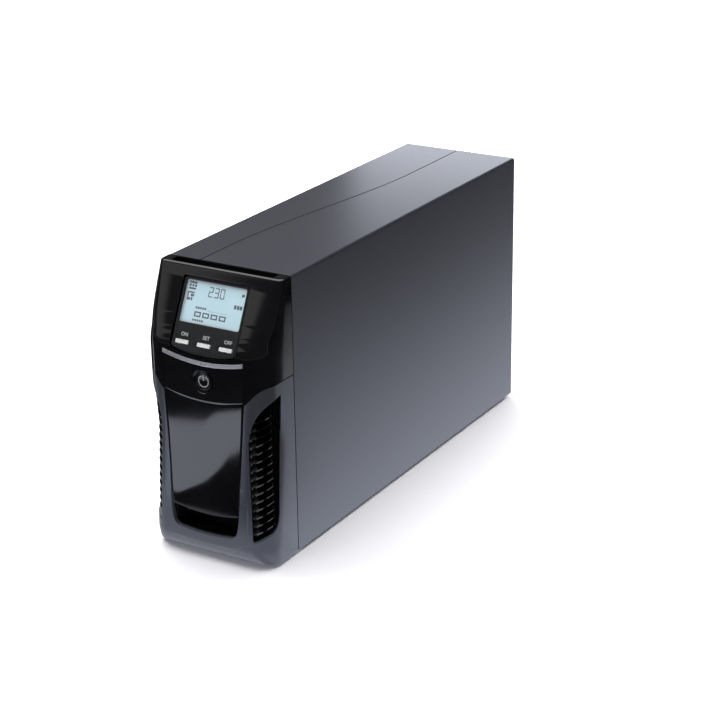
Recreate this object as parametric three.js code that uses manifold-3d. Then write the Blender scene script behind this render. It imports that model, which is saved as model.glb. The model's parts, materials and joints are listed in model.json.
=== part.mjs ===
// Uninterruptible power supply in a slim tower case, built in millimetres with +Z up and the front facing -Y.
// Every piece is drawn in the case frame: y = 0 is the joint of the bezels and the case, z = 0 the case floor.

import * as THREE from 'three';
import { mergeVertices } from 'three/addons/utils/BufferGeometryUtils.js';
import Module from 'manifold-3d';

const wasm = await Module();
wasm.setup();

// ---------------------------------------------------------------- driving dimensions

// Case
const CASE_W = 120;
const CASE_H = 244;
const CASE_D = 400;
const SHEET = 1.2;
const BEND_R = 2.4;
const FOOT_H = 3;
const FOOT_R = 8;
const FOOT_INSET = 16;
const REAR_INSET = 4;
const SEAM_REAR_X = -2;
const SEAM_FRONT_X = -28;
const SEAM_GAP = 0.9;

// Clearances
const FIT = 0.4;
const JOINT_GAP = 1;

// Bezels
const SKIN = 2.4;
const SKIN_LEAN = 1.15;
const BASE_DEPTH = 37;
const BULGE = 48.2;
const WAIST_DEPTH = 43.2;
const TOP_DEPTH = 13.2;
const HEAD_TILT = THREE.MathUtils.degToRad(25.9);
const HEAD_H = 65;
const ROOF = 6.5;
const ROOF_FALL = 0.4;
const CHANNEL_W = 100;
const CHANNEL_H = 3.2;
const CHANNEL_FRONT = 10.5;
const SPLIT_DROP = 84;
const SPLIT_GAP = 0.9;
const CHEEK = 20.6;
const RIDGE = 0.9;

// Front trim, button band and door
const ARC_R = 153;
const ARC_H = 3.6;
const ARC_PROUD = 0.5;
const BAND_H = 31.3;
const DISH_R = 10.2;
const DISH_DEPTH = 1.4;
const POWER_RISE = 12.5;
const POWER_R = 8;
const POWER_PROUD = 0.6;
const POWER_TRAVEL = 2;
const DOOR_GAP = 0.8;
const DOOR_TAPER = 6.2;
const DOOR_BOTTOM = 45.2;
const DOOR_THICK = 3;
const HINGE_BELOW = 1.4;
const HINGE_DEPTH = 1.5;
const PIN_R = 1;
const PIN_L = 2.6;
const RECESS_BOTTOM = 24.7;
const RECESS_CORNER = 8;
const LINER_DEPTH = 22;
const LINER_H = 34;

// Display
const PANEL_W = 63.5;
const PANEL_H = 58.5;
const PANEL_FOOT = 62;
const PANEL_CORNER = 3;
const PANEL_PROUD = 1.8;
const PANEL_THICK = 1.6;
const PANEL_GAP = 0.8;
const LCD_W = 58.5;
const LCD_H = 35;
const LCD_FOOT = 21.3;
const LENS_THICK = 1;
const KEY_W = 12.3;
const KEY_H = 3.3;
const KEY_PITCH = 21.3;
const KEY_FOOT = 5;
const KEY_PROUD = 1;
const KEY_TRAVEL = 1;

// Louvres
const VENT_BOTTOM = 24;
const VENT_TIP_DROP = 95.4;
const VENT_EDGE = 0.81;
const LOUVRE_DEPTH = 22.6;
const VENT_LENGTH = 27.6;
const FIN_COUNT = 15;
const FIN_RUN = 19;
const FIN_RISE = 7;
const FIN_THICK = 1.2;
const FIN_START = 29;
const FIN_HEADROOM = 16.1;

// Batteries and their bay
const BATTERY_W = 65;
const BATTERY_H = 94;
const BATTERY_L = 151;
const TERMINAL_H = 5;
const BAY_GAP = 1.5;
const FRAME_Y = 2;

// Electronics
const BOARD_THICK = 1.6;
const BOARD_L = 225;
const STANDOFF = 5;
const CORE_L = 96;
const CORE_H = 80;
const CORE_STACK = 50;
const LIMB = 32;
const YOKE = 16;
const COIL_OVER = 14;
const SINK_W = 26;
const SINK_H = 46;
const SINK_L = 96;
const CAP_R = 12.5;
const CAP_H = 42;
const RELAY = 28;
const LEAD_R = 2.2;

// Rear panel fittings
const FAN_SIZE = 70;
const FAN_THICK = 15;
const FAN_MARGIN = 5;
const BLADES = 7;
const IEC_W = 27.4;
const IEC_H = 20.4;
const IEC_DEPTH = 24;
const IEC_LIP = 2;
const OUTLET_PITCH_X = 38;
const OUTLET_PITCH_Z = 31;
const OUTLET_ROWS = 3;
const INLET_Z = 36;
const PORT_MARGIN = 16;

// ---------------------------------------------------------------- derived places

const halfW = CASE_W / 2;
const bezelRear = -JOINT_GAP / 2;
const caseFront = JOINT_GAP / 2;
const arcTop = CASE_H - HEAD_H;
const bandTop = arcTop - ARC_H;
const bandBottom = bandTop - BAND_H;
const bandHalf = halfW - CHEEK;
const splitZ = CASE_H - SPLIT_DROP;
const panelOut = CASE_D - REAR_INSET;
const panelIn = panelOut - SHEET;
const powerZ = bandBottom + POWER_RISE;
const bayFloor = SHEET + FIT;
const shelfZ = bayFloor + SHEET + BATTERY_H + TERMINAL_H + BAY_GAP * 3;
const bayHalf = BATTERY_W / 2 + BAY_GAP;
const boardZ = shelfZ + SHEET + STANDOFF;
const ribbonZ = arcTop - 26;

// ---------------------------------------------------------------- solid helpers

function solidOf(geometry) {
  const plain = geometry.index ? geometry.toNonIndexed() : geometry.clone();
  plain.deleteAttribute('normal');
  plain.deleteAttribute('uv');
  const merged = mergeVertices(plain, 1e-4);
  return new wasm.Manifold(new wasm.Mesh({
    numProp: 3,
    vertProperties: new Float32Array(merged.attributes.position.array),
    triVerts: new Uint32Array(merged.index.array),
  }));
}

function geometryOf(body) {
  const mesh = body.getMesh();
  const geometry = new THREE.BufferGeometry();
  geometry.setAttribute('position', new THREE.BufferAttribute(new Float32Array(mesh.vertProperties), 3));
  geometry.setIndex(new THREE.BufferAttribute(new Uint32Array(mesh.triVerts), 1));
  return geometry;
}

function mirrored(body) {
  const geometry = geometryOf(body).applyMatrix4(new THREE.Matrix4().makeScale(-1, 1, 1));
  const index = geometry.index.array;
  for (let i = 0; i < index.length; i += 3) {
    [index[i], index[i + 1]] = [index[i + 1], index[i]];
  }
  return solidOf(geometry);
}

function transformed(body, matrix) {
  return solidOf(geometryOf(body).applyMatrix4(matrix));
}

function union(...bodies) {
  return bodies.reduce((sum, body) => sum.add(body));
}

function cut(body, ...tools) {
  return tools.reduce((rest, tool) => rest.subtract(tool), body);
}

// Box between two corners.
function block(x0, x1, y0, y1, z0, z1) {
  const geometry = new THREE.BoxGeometry(x1 - x0, y1 - y0, z1 - z0);
  return solidOf(geometry.translate((x0 + x1) / 2, (y0 + y1) / 2, (z0 + z1) / 2));
}

const ALONG = {
  x: new THREE.Matrix4().makeBasis(
    new THREE.Vector3(0, 1, 0), new THREE.Vector3(0, 0, 1), new THREE.Vector3(1, 0, 0)),
  y: new THREE.Matrix4().makeBasis(
    new THREE.Vector3(1, 0, 0), new THREE.Vector3(0, 0, 1), new THREE.Vector3(0, -1, 0)),
  z: new THREE.Matrix4(),
};

// Outline extruded along an axis. The outline lies in (y, z), (x, z) or (x, y).
function prism(shape, axis, from, to, curveSegments = 8) {
  const outline = shape instanceof THREE.Shape ? shape : polygon(shape);
  const geometry = new THREE.ExtrudeGeometry(outline, {
    depth: to - from, bevelEnabled: false, curveSegments, steps: 1,
  });
  geometry.applyMatrix4(ALONG[axis]);
  const start = new THREE.Vector3();
  start[axis] = axis === 'y' ? to : from;
  return solidOf(geometry.translate(start.x, start.y, start.z));
}

function polygon(points) {
  return new THREE.Shape(points.map(([u, v]) => new THREE.Vector2(u, v)));
}

// Cylinder or cone along an axis, from one place to another.
function rod(axis, radius, from, to, u, v, segments = 24, endRadius = radius) {
  const geometry = new THREE.CylinderGeometry(endRadius, radius, to - from, segments);
  geometry.translate(0, (from + to) / 2, 0);
  if (axis === 'z') geometry.rotateX(Math.PI / 2);
  if (axis === 'x') geometry.rotateZ(-Math.PI / 2);
  if (axis === 'x') return solidOf(geometry.translate(0, u, v));
  if (axis === 'y') return solidOf(geometry.translate(u, 0, v));
  return solidOf(geometry.translate(u, v, 0));
}

function roundedRect(x0, x1, z0, z1, radius) {
  const shape = new THREE.Shape();
  shape.moveTo(x0 + radius, z0);
  shape.lineTo(x1 - radius, z0);
  shape.absarc(x1 - radius, z0 + radius, radius, -Math.PI / 2, 0);
  shape.lineTo(x1, z1 - radius);
  shape.absarc(x1 - radius, z1 - radius, radius, 0, Math.PI / 2);
  shape.lineTo(x0 + radius, z1);
  shape.absarc(x0 + radius, z1 - radius, radius, Math.PI / 2, Math.PI);
  shape.lineTo(x0, z0 + radius);
  shape.absarc(x0 + radius, z0 + radius, radius, Math.PI, Math.PI * 1.5);
  return shape;
}

// Round lead along a smooth curve through its points.
function lead(points, radius, steps) {
  const circle = new THREE.Shape().absarc(0, 0, radius, 0, Math.PI * 2);
  const path = new THREE.CatmullRomCurve3(points.map((p) => new THREE.Vector3(...p)));
  return solidOf(new THREE.ExtrudeGeometry(circle, { steps, extrudePath: path, curveSegments: 4 }));
}

// Smooth curve through stations [z, value], held level outside its ends.
function through(stations, z) {
  const last = stations.length - 1;
  if (z <= stations[0][0]) return stations[0][1];
  if (z >= stations[last][0]) return stations[last][1];
  const i = stations.findIndex(([at], k) => k < last && z < stations[k + 1][0] && z >= at);
  const slope = (a, b) => (stations[b][1] - stations[a][1]) / (stations[b][0] - stations[a][0]);
  const width = stations[i + 1][0] - stations[i][0];
  const here = slope(i, i + 1);
  const tangent = (k) => {
    if (k === 0 || k === last) return here;
    const before = slope(k - 1, k);
    const after = slope(k, k + 1);
    return before * after <= 0 ? 0 : (2 * before * after) / (before + after);
  };
  const t = (z - stations[i][0]) / width;
  const a = stations[i][1];
  const b = stations[i + 1][1];
  return a * (1 + 2 * t) * (1 - t) ** 2 + b * t * t * (3 - 2 * t)
    + width * (tangent(i) * t * (1 - t) ** 2 + tangent(i + 1) * t * t * (t - 1));
}

// ---------------------------------------------------------------- the bezels' outer form

function headDepth(z) {
  return TOP_DEPTH + (CASE_H - z) * Math.tan(HEAD_TILT);
}

function lowerDepth(z) {
  return through([
    [0, BASE_DEPTH], [8, 43], [16, 46.8], [26, BULGE], [DOOR_BOTTOM, 47.6],
    [bandBottom - 36, WAIST_DEPTH + 1], [bandBottom, WAIST_DEPTH], [arcTop, WAIST_DEPTH - 0.6],
  ], z);
}

// The head leans back above the trim arc, with a soft break between the two.
function frontDepth(z) {
  const a = lowerDepth(z);
  const b = headDepth(z);
  const soft = 3;
  const h = Math.max(soft - Math.abs(a - b), 0) / soft;
  return Math.min(a, b) - h * h * soft / 4;
}

// How far each rounded corner reaches across the front.
function cornerWidth(z) {
  return through([
    [0, CHEEK / 2], [10, 16], [24, CHEEK - 1], [DOOR_BOTTOM, CHEEK], [arcTop - 4, CHEEK],
    [arcTop + 10, 17], [CASE_H - 36, 12], [CASE_H - 16, 9], [CASE_H, 5],
  ], z);
}

// How far each rounded corner reaches back along the side.
function cornerDepth(z) {
  return through([
    [0, 10], [10, 19], [24, 26], [60, 28], [bandBottom - 38, 30], [bandBottom - 19, 23],
    [bandBottom - 5, 19], [bandBottom + 8, 17], [arcTop, 16], [arcTop + 9, 15.5],
    [CASE_H - 37, 9], [CASE_H - 16, 5.5], [CASE_H, 4],
  ], z);
}

// One level of the form, from the rear left corner round the front to the rear right.
function formRing(z, inset, rear, segments) {
  const side = halfW - inset;
  const front = -frontDepth(z) + inset * SKIN_LEAN;
  const across = Math.max(cornerWidth(z) - inset * 0.3, 1);
  const along = Math.max(cornerDepth(z) - inset * 0.3, 1);
  const ring = [[side, rear]];
  for (let i = 0; i <= segments; i += 1) {
    const turn = (i / segments) * Math.PI / 2;
    ring.push([side - across * (1 - Math.cos(turn)), front + along * (1 - Math.sin(turn))]);
  }
  const left = ring.map(([x, y]) => [-x, y]);
  return [...left, ...ring.reverse()].map(([x, y]) => [x, y, z]);
}

// Closed body through level rings that all have the same number of points.
function loft(rings) {
  const count = rings[0].length;
  const positions = rings.flat(2);
  const index = [];
  for (let level = 0; level < rings.length - 1; level += 1) {
    for (let i = 0; i < count; i += 1) {
      const a = level * count + i;
      const b = level * count + (i + 1) % count;
      index.push(a, b, b + count, a, b + count, a + count);
    }
  }
  const cap = THREE.ShapeUtils.triangulateShape(rings[0].map(([x, y]) => new THREE.Vector2(x, y)), []);
  const top = (rings.length - 1) * count;
  const lid = THREE.ShapeUtils.triangulateShape(rings.at(-1).map(([x, y]) => new THREE.Vector2(x, y)), []);
  cap.forEach(([a, b, c]) => index.push(c, b, a));
  lid.forEach(([a, b, c]) => index.push(top + a, top + b, top + c));
  const geometry = new THREE.BufferGeometry();
  geometry.setAttribute('position', new THREE.BufferAttribute(new Float32Array(positions), 3));
  geometry.setIndex(index);
  return solidOf(geometry);
}

// The bezels' form between two levels, moved in or out by an inset that may change with height.
function form(z0, z1, inset, rear, step, segments) {
  const count = Math.ceil((z1 - z0) / step);
  const rings = [];
  for (let i = 0; i <= count; i += 1) {
    const z = z0 + ((z1 - z0) * i) / count;
    rings.push(formRing(z, typeof inset === 'function' ? inset(z) : inset, rear, segments));
  }
  return loft(rings);
}

const outerForm = form(0, CASE_H, 0, bezelRear, 6, 9);
const innerForm = form(SKIN, CASE_H - ROOF, SKIN, bezelRear + 5, 9, 6);
const bezelSkin = cut(outerForm, innerForm);

// ---------------------------------------------------------------- outlines seen from the front

function dip(halfChord, radius = ARC_R) {
  return radius - Math.sqrt(radius * radius - halfChord * halfChord);
}

// Points of an arc that hangs down across the front. It would meet the band's sides at height z.
function hangingArc(half, z, count = 12) {
  const points = [];
  for (let i = 0; i <= count; i += 1) {
    const x = half - (2 * half * i) / count;
    points.push([x, z - dip(bandHalf) + dip(Math.abs(x))]);
  }
  return points;
}

// Strip between two hanging arcs.
function arcStrip(half, low, high) {
  return polygon([...hangingArc(half, low).reverse(), ...hangingArc(half, high)]);
}

// The joint between upper and lower bezel, from the band's corner out to the side.
function splitPoints(shift) {
  const rise = splitZ - bandBottom;
  const points = [];
  for (let i = 0; i <= 6; i += 1) {
    const t = i / 6;
    const z = bandBottom + rise * Math.sin(t * Math.PI / 2) ** 1.15;
    points.push([bandHalf + FIT + (CHEEK - FIT) * t, z + shift]);
  }
  return points;
}

function mirrorOutline(points) {
  return [...points, ...points.map(([x, z]) => [-x, z]).reverse()];
}

function upperRegion() {
  const arc = hangingArc(bandHalf + FIT, arcTop + FIT);
  const right = splitPoints(0);
  const left = right.map(([x, z]) => [-x, z]);
  return polygon([
    ...arc, ...left, [-halfW - 5, splitZ], [-halfW - 5, CASE_H + 5],
    [halfW + 5, CASE_H + 5], [halfW + 5, splitZ], ...right.reverse(),
  ]);
}

function lowerRegion() {
  const right = splitPoints(-SPLIT_GAP);
  const top = splitZ - SPLIT_GAP;
  const half = [[0, -5], [halfW + 5, -5], [halfW + 5, top], ...right.reverse(), [0, bandBottom - SPLIT_GAP]];
  return polygon(mirrorOutline(half));
}

function doorHalf(z) {
  return bandHalf - FIT - DOOR_TAPER * (bandBottom - z) / (bandBottom - DOOR_BOTTOM);
}

function doorOutline() {
  const top = bandBottom - DOOR_GAP;
  const upper = hangingArc(doorHalf(top), top);
  const lower = hangingArc(doorHalf(DOOR_BOTTOM), DOOR_BOTTOM).reverse();
  return polygon([...lower, ...upper]);
}

// Opening for the door, with the finger recess below it. A margin makes the outline larger all round.
function openingOutline(margin) {
  const top = bandBottom + 8;
  const upperHalf = doorHalf(bandBottom) + margin;
  const lowerHalf = doorHalf(DOOR_BOTTOM) + margin;
  const floor = RECESS_BOTTOM - margin;
  const footHalf = lowerHalf - 2.5;
  const sag = dip(footHalf - RECESS_CORNER);
  const shape = new THREE.Shape();
  shape.moveTo(upperHalf, top);
  shape.lineTo(-upperHalf, top);
  shape.lineTo(-upperHalf, bandBottom);
  shape.lineTo(-lowerHalf, DOOR_BOTTOM);
  shape.quadraticCurveTo(-lowerHalf, DOOR_BOTTOM - 6, -footHalf - 1, floor + RECESS_CORNER);
  shape.quadraticCurveTo(-footHalf, floor, -footHalf + RECESS_CORNER, floor);
  shape.quadraticCurveTo(0, floor - 2 * sag, footHalf - RECESS_CORNER, floor);
  shape.quadraticCurveTo(footHalf, floor, footHalf + 1, floor + RECESS_CORNER);
  shape.quadraticCurveTo(lowerHalf, DOOR_BOTTOM - 6, lowerHalf, DOOR_BOTTOM);
  shape.lineTo(upperHalf, bandBottom);
  return shape;
}

// ---------------------------------------------------------------- bezels and louvres

const DIAGONAL = Math.SQRT1_2;
const ventMatrix = new THREE.Matrix4().makeBasis(
  new THREE.Vector3(DIAGONAL, DIAGONAL, 0), new THREE.Vector3(0, 0, 1),
  new THREE.Vector3(DIAGONAL, -DIAGONAL, 0));
const ventFront = (halfW - CHEEK * VENT_EDGE - BULGE + 4.4) * DIAGONAL;
const ventOut = (halfW + BULGE) * DIAGONAL;
const ventTipZ = CASE_H - VENT_TIP_DROP;
const finPitch = (ventTipZ - FIN_START - FIN_HEADROOM) / FIN_COUNT;

// The louvre plate lies behind the bezel's wall, so a thicker wall moves it in along the diagonal.
const louvreBack = ventOut - LOUVRE_DEPTH - SKIN * SKIN_LEAN / DIAGONAL;

// Prism through the corner, its outline in (distance back along the corner, height).
function ventPrism(points, near, far) {
  const geometry = new THREE.ExtrudeGeometry(points instanceof THREE.Shape ? points : polygon(points), {
    depth: far - near, bevelEnabled: false, curveSegments: 6,
  });
  return solidOf(geometry.translate(ventFront, 0, near).applyMatrix4(ventMatrix));
}

function ventOutline(margin) {
  const low = VENT_BOTTOM - margin;
  const rear = VENT_LENGTH + margin;
  const shape = new THREE.Shape();
  shape.moveTo(-margin, low + 2);
  shape.quadraticCurveTo(-margin, low, 2, low);
  shape.lineTo(rear - 12, low + 5);
  shape.quadraticCurveTo(rear - 5, low + 8, rear - 4, low + 20);
  shape.lineTo(rear, ventTipZ - 20);
  shape.lineTo(rear + 1, ventTipZ + margin);
  shape.quadraticCurveTo(1 - margin, ventTipZ - 6 + margin, -margin, ventTipZ - 42);
  return shape;
}

function louvre() {
  const near = louvreBack;
  const plate = ventPrism(ventOutline(1.2), near, near + 1.6);
  const slots = [];
  const blades = [];
  for (let i = 0; i < FIN_COUNT; i += 1) {
    const z = FIN_START + i * finPitch;
    blades.push(ventPrism([
      [1, z], [FIN_RUN, z + FIN_RISE], [FIN_RUN, z + FIN_RISE + FIN_THICK], [1, z + FIN_THICK],
    ], near + 0.8, ventOut));
    if (i === FIN_COUNT - 1) continue;
    slots.push(ventPrism([
      [3, z + 3], [FIN_RUN - 2, z + FIN_RISE + 2], [FIN_RUN - 2, z + FIN_RISE + 5], [3, z + 6],
    ], near - 1, near + 3));
  }
  const ribs = [0.3, FIN_RUN - 0.4].map((at) => ventPrism(
    [[at, VENT_BOTTOM + 1], [at + 1.4, VENT_BOTTOM + 1], [at + 1.4, ventTipZ - 12], [at, ventTipZ - 12]],
    near + 0.8, near + 6));
  const inside = form(0, CASE_H, FIT + 0.4, bezelRear, 30, 4).intersect(
    ventPrism(ventOutline(-FIT), near + 1.2, ventOut + 5));
  const fins = union(...blades, ...ribs).intersect(union(inside, plate));
  return cut(union(plate, fins), ...slots);
}

function upperBezel() {
  const body = bezelSkin.intersect(prism(upperRegion(), 'y', -80, 10));
  const slope = prism([
    [bezelRear + 0.1, CASE_H], [-TOP_DEPTH - 8, CASE_H - ROOF_FALL],
    [-TOP_DEPTH - 8, CASE_H + 5], [bezelRear + 0.1, CASE_H + 5],
  ], 'x', -halfW - 1, halfW + 1);
  const channel = prism(roundedRect(-CHANNEL_W / 2, CHANNEL_W / 2, -CHANNEL_FRONT, 4, 1.5), 'z',
    CASE_H - ROOF_FALL - CHANNEL_H, CASE_H + 5);
  const window = transformed(prism(displayOutline(PANEL_GAP), 'y', -20, 12), displayMatrix);
  const bandSlot = prism([
    [-bandHalf - FIT, bandBottom - 20], [bandHalf + FIT, bandBottom - 20],
    [bandHalf + FIT, bandTop], [-bandHalf - FIT, bandTop]], 'y', -80, 10);
  return cut(body, slope, channel, window, bandSlot);
}

function lowerBezel() {
  const ridgeInset = (z) => -RIDGE * (1 - THREE.MathUtils.smoothstep(z, 30, 80));
  const ridgeForm = cut(form(0, 90, ridgeInset, bezelRear, 6, 5), innerForm);
  const ridgeHalf = bandHalf + 2;
  const floor = hangingArc(ridgeHalf - 10, 17).reverse();
  const ridge = ridgeForm.intersect(prism([
    ...floor, [ridgeHalf - 5, 19.5], [ridgeHalf - 1.5, 24], [ridgeHalf, 31], [ridgeHalf, 84],
    [-ridgeHalf, 84], [-ridgeHalf, 31], [-ridgeHalf + 1.5, 24], [-ridgeHalf + 5, 19.5],
  ], 'y', -80, -20));
  const body = union(bezelSkin.intersect(prism(lowerRegion(), 'y', -80, 10)), ridge);
  const vent = ventPrism(ventOutline(0), louvreBack + 2.5, ventOut + 10);
  const pin = rod('x', PIN_R + FIT, -bandHalf - PIN_L - 1, bandHalf + PIN_L + 1, hingeY, hingeZ, 16);
  return cut(body, prism(openingOutline(FIT + 0.1), 'y', -80, 10, 10), vent, mirrored(vent), pin);
}

// ---------------------------------------------------------------- door, band, trim and power button

// The pins lie below the whole of the door's curved top edge, which swings in behind the band.
const hingeZ = bandBottom - DOOR_GAP - dip(bandHalf) - HINGE_BELOW;
const hingeY = -frontDepth(hingeZ) + HINGE_DEPTH;

function frontPiece(outline, proud, thickness) {
  const shell = cut(
    form(0, CASE_H, -proud, bezelRear, 6, 9),
    form(-1, CASE_H + 1, thickness, bezelRear + 5, 9, 6));
  return shell.intersect(prism(outline, 'y', -80, -20));
}

function frontDoor() {
  const plate = frontPiece(doorOutline(), 0, DOOR_THICK / SKIN_LEAN);
  const pinReach = doorHalf(hingeZ) + PIN_L;
  const pins = [-1, 1].map((side) => rod('x', PIN_R, Math.min(side * pinReach, side * (pinReach - 5)),
    Math.max(side * pinReach, side * (pinReach - 5)), hingeY, hingeZ, 16));
  return union(plate, ...pins);
}

function buttonBand() {
  const plate = frontPiece(arcStrip(bandHalf, bandBottom, bandTop - FIT), 0, SKIN);
  const front = -frontDepth(powerZ);
  const dish = rod('y', DISH_R, front - 1, front + DISH_DEPTH, 0, powerZ, 32, DISH_R - DISH_DEPTH);
  const bore = rod('y', POWER_R + FIT, front - 5, front + 10, 0, powerZ, 32);
  const collar = rod('y', DISH_R + 1, front + 1, front + 6, 0, powerZ, 32);
  return cut(union(plate, collar), dish, bore);
}

function powerButton() {
  const front = -frontDepth(powerZ) + DISH_DEPTH - POWER_PROUD;
  const cap = rod('y', POWER_R, front, front + 7, 0, powerZ, 32);
  const edge = rod('y', POWER_R - 0.8, front - 0.6, front + 0.2, 0, powerZ, 32, POWER_R);
  const flange = rod('y', POWER_R + 2, front + 6.6, front + 8, 0, powerZ, 24);
  const stem = rod('y', 2.5, front + 7.5, front + 12, 0, powerZ, 16);
  return union(cap, edge, flange, stem);
}

function powerSwitch() {
  const front = -frontDepth(powerZ) + DISH_DEPTH - POWER_PROUD + 12 + POWER_TRAVEL + FIT;
  return union(
    block(-7, 7, front, front + 8, powerZ - 7, powerZ + 7),
    block(-4, 4, front + 7.5, front + 12, powerZ - 4, powerZ + 4));
}

function recessLiner() {
  const half = doorHalf(DOOR_BOTTOM) + FIT;
  const front = -lowerDepth(DOOR_BOTTOM) + SKIN * SKIN_LEAN + 1.2;
  const back = front + LINER_DEPTH;
  const floor = RECESS_BOTTOM - 5.5;
  const wall = 1.5;
  const outer = block(-half, half, front, back, floor, floor + LINER_H);
  const inner = block(-half + wall, half - wall, front - 1, back - wall,
    floor + wall, floor + LINER_H - wall);
  return cut(outer, inner);
}

// ---------------------------------------------------------------- display

// The display stands on the leaning head: its own frame has z up the slope and -y straight out of it.
const displayFoot = CASE_H - PANEL_FOOT;
const displayGroup = new THREE.Group();
displayGroup.position.set(0, -headDepth(displayFoot) + PANEL_PROUD, displayFoot);
displayGroup.rotation.x = -HEAD_TILT;
displayGroup.updateMatrix();
const displayMatrix = displayGroup.matrix;

function displayOutline(margin) {
  const half = PANEL_W / 2 + margin;
  const top = PANEL_H + margin;
  const corner = PANEL_CORNER;
  const shape = new THREE.Shape();
  shape.moveTo(half, -margin + 2);
  shape.lineTo(half, top - corner);
  shape.absarc(half - corner, top - corner, corner, 0, Math.PI / 2);
  shape.lineTo(-half + corner, top);
  shape.absarc(-half + corner, top - corner, corner, Math.PI / 2, Math.PI);
  shape.lineTo(-half, -margin + 2);
  shape.quadraticCurveTo(-half + 1, -margin, -half + 4, -margin - 0.8);
  shape.quadraticCurveTo(0, -margin - 6, half - 4, -margin - 0.8);
  shape.quadraticCurveTo(half - 1, -margin, half, -margin + 2);
  return shape;
}

function keyPlaces() {
  return [-KEY_PITCH, 0, KEY_PITCH];
}

function displayPanel() {
  const face = prism(displayOutline(0), 'y', 0, PANEL_THICK + 1);
  const edge = PANEL_GAP + 0.6;
  const foot = SKIN * 1.25 + 1;
  const flange = block(-PANEL_W / 2 - edge, PANEL_W / 2 + edge, PANEL_THICK + 0.9, PANEL_THICK + 2.4,
    foot, PANEL_H + edge);
  const window = block(-LCD_W / 2, LCD_W / 2, -5, 20, LCD_FOOT, LCD_FOOT + LCD_H);
  const rebate = block(-LCD_W / 2 - 1.5, LCD_W / 2 + 1.5, PANEL_THICK, 20,
    LCD_FOOT - 1.5, LCD_FOOT + LCD_H + 1.2);
  const holes = keyPlaces().map((x) => block(x - KEY_W / 2 - FIT, x + KEY_W / 2 + FIT, -5, 20,
    KEY_FOOT - KEY_H / 2 - FIT, KEY_FOOT + KEY_H / 2 + FIT));
  return cut(union(face, flange), window, rebate, ...holes);
}

function lcdLens() {
  const start = PANEL_THICK - LENS_THICK - 0.2;
  const inset = FIT - 0.1;
  return union(
    block(-LCD_W / 2 + inset, LCD_W / 2 - inset, start, start + LENS_THICK + 0.8,
      LCD_FOOT + inset, LCD_FOOT + LCD_H - inset),
    block(-LCD_W / 2 - 1, LCD_W / 2 + 1, PANEL_THICK + FIT - 0.1, start + LENS_THICK + 0.8,
      LCD_FOOT - 1, LCD_FOOT + LCD_H + 0.8));
}

function lcdModule() {
  const start = PANEL_THICK + 1;
  return block(-LCD_W / 2 - 1, LCD_W / 2 + 1, start, start + 3, LCD_FOOT - 1, LCD_FOOT + LCD_H + 0.8);
}

function displayBoard() {
  const start = PANEL_THICK + 4.8 + KEY_TRAVEL + 1.4;
  const board = block(-PANEL_W / 2, PANEL_W / 2, start, start + BOARD_THICK, 1, PANEL_H - 4);
  const socket = block(-10, 10, start + BOARD_THICK - 0.2, start + 8, 12, 18);
  return union(board, socket);
}

function panelKey() {
  const cap = prism(roundedRect(-KEY_W / 2, KEY_W / 2, -KEY_H / 2, KEY_H / 2, 0.7), 'y', -KEY_PROUD, 5, 3);
  const flange = block(-KEY_W / 2 - 1, KEY_W / 2 + 1, 4.4, 5.4, -KEY_H / 2 - 1, KEY_H / 2 + 1);
  return union(cap, flange);
}

// ---------------------------------------------------------------- case

// Shared S-shaped joint of the two covers on the top, from the front left to the rear centre.
function seamPoints(shift) {
  const points = [];
  for (let i = 0; i <= 16; i += 1) {
    const t = i / 16;
    const across = THREE.MathUtils.smoothstep(t, 0.1, 0.78);
    const x = THREE.MathUtils.lerp(SEAM_FRONT_X, SEAM_REAR_X, across) + shift;
    points.push([x, caseFront + (CASE_D - caseFront) * t]);
  }
  return points;
}

// Outer wall of a cover seen from the front: side and top joined by a small round bend.
function coverProfile() {
  const inner = BEND_R - SHEET;
  const shape = new THREE.Shape();
  shape.moveTo(halfW, 0);
  shape.lineTo(halfW, CASE_H - BEND_R);
  shape.absarc(halfW - BEND_R, CASE_H - BEND_R, BEND_R, 0, Math.PI / 2);
  shape.lineTo(-halfW, CASE_H);
  shape.lineTo(-halfW, CASE_H - SHEET);
  shape.lineTo(halfW - BEND_R, CASE_H - SHEET);
  shape.absarc(halfW - BEND_R, CASE_H - BEND_R, inner, Math.PI / 2, 0, true);
  shape.lineTo(halfW - SHEET, 0);
  return shape;
}

function rightCover() {
  const body = prism(coverProfile(), 'y', caseFront, CASE_D, 4);
  const line = seamPoints(SEAM_GAP / 2);
  line[0][1] -= 5;
  line.at(-1)[1] += 5;
  const away = prism([...line, [-halfW - 5, CASE_D + 5], [-halfW - 5, -5]], 'z', CASE_H - 20, CASE_H + 5);
  return cut(body, away);
}

function leftCover() {
  const body = mirrored(prism(coverProfile(), 'y', caseFront, CASE_D, 4));
  const line = seamPoints(-SEAM_GAP / 2);
  line[0][1] -= 5;
  line.at(-1)[1] += 5;
  const away = prism([...line.reverse(), [halfW + 5, -5], [halfW + 5, CASE_D + 5]], 'z',
    CASE_H - 20, CASE_H + 5);
  return cut(body, away);
}

function baseChassis() {
  const side = halfW - SHEET - FIT;
  const lip = 14;
  return prism([
    [-side, 0], [side, 0], [side, lip], [side - SHEET, lip], [side - SHEET, SHEET],
    [-side + SHEET, SHEET], [-side + SHEET, lip], [-side, lip],
  ], 'y', caseFront + FIT, panelIn - FIT);
}

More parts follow.
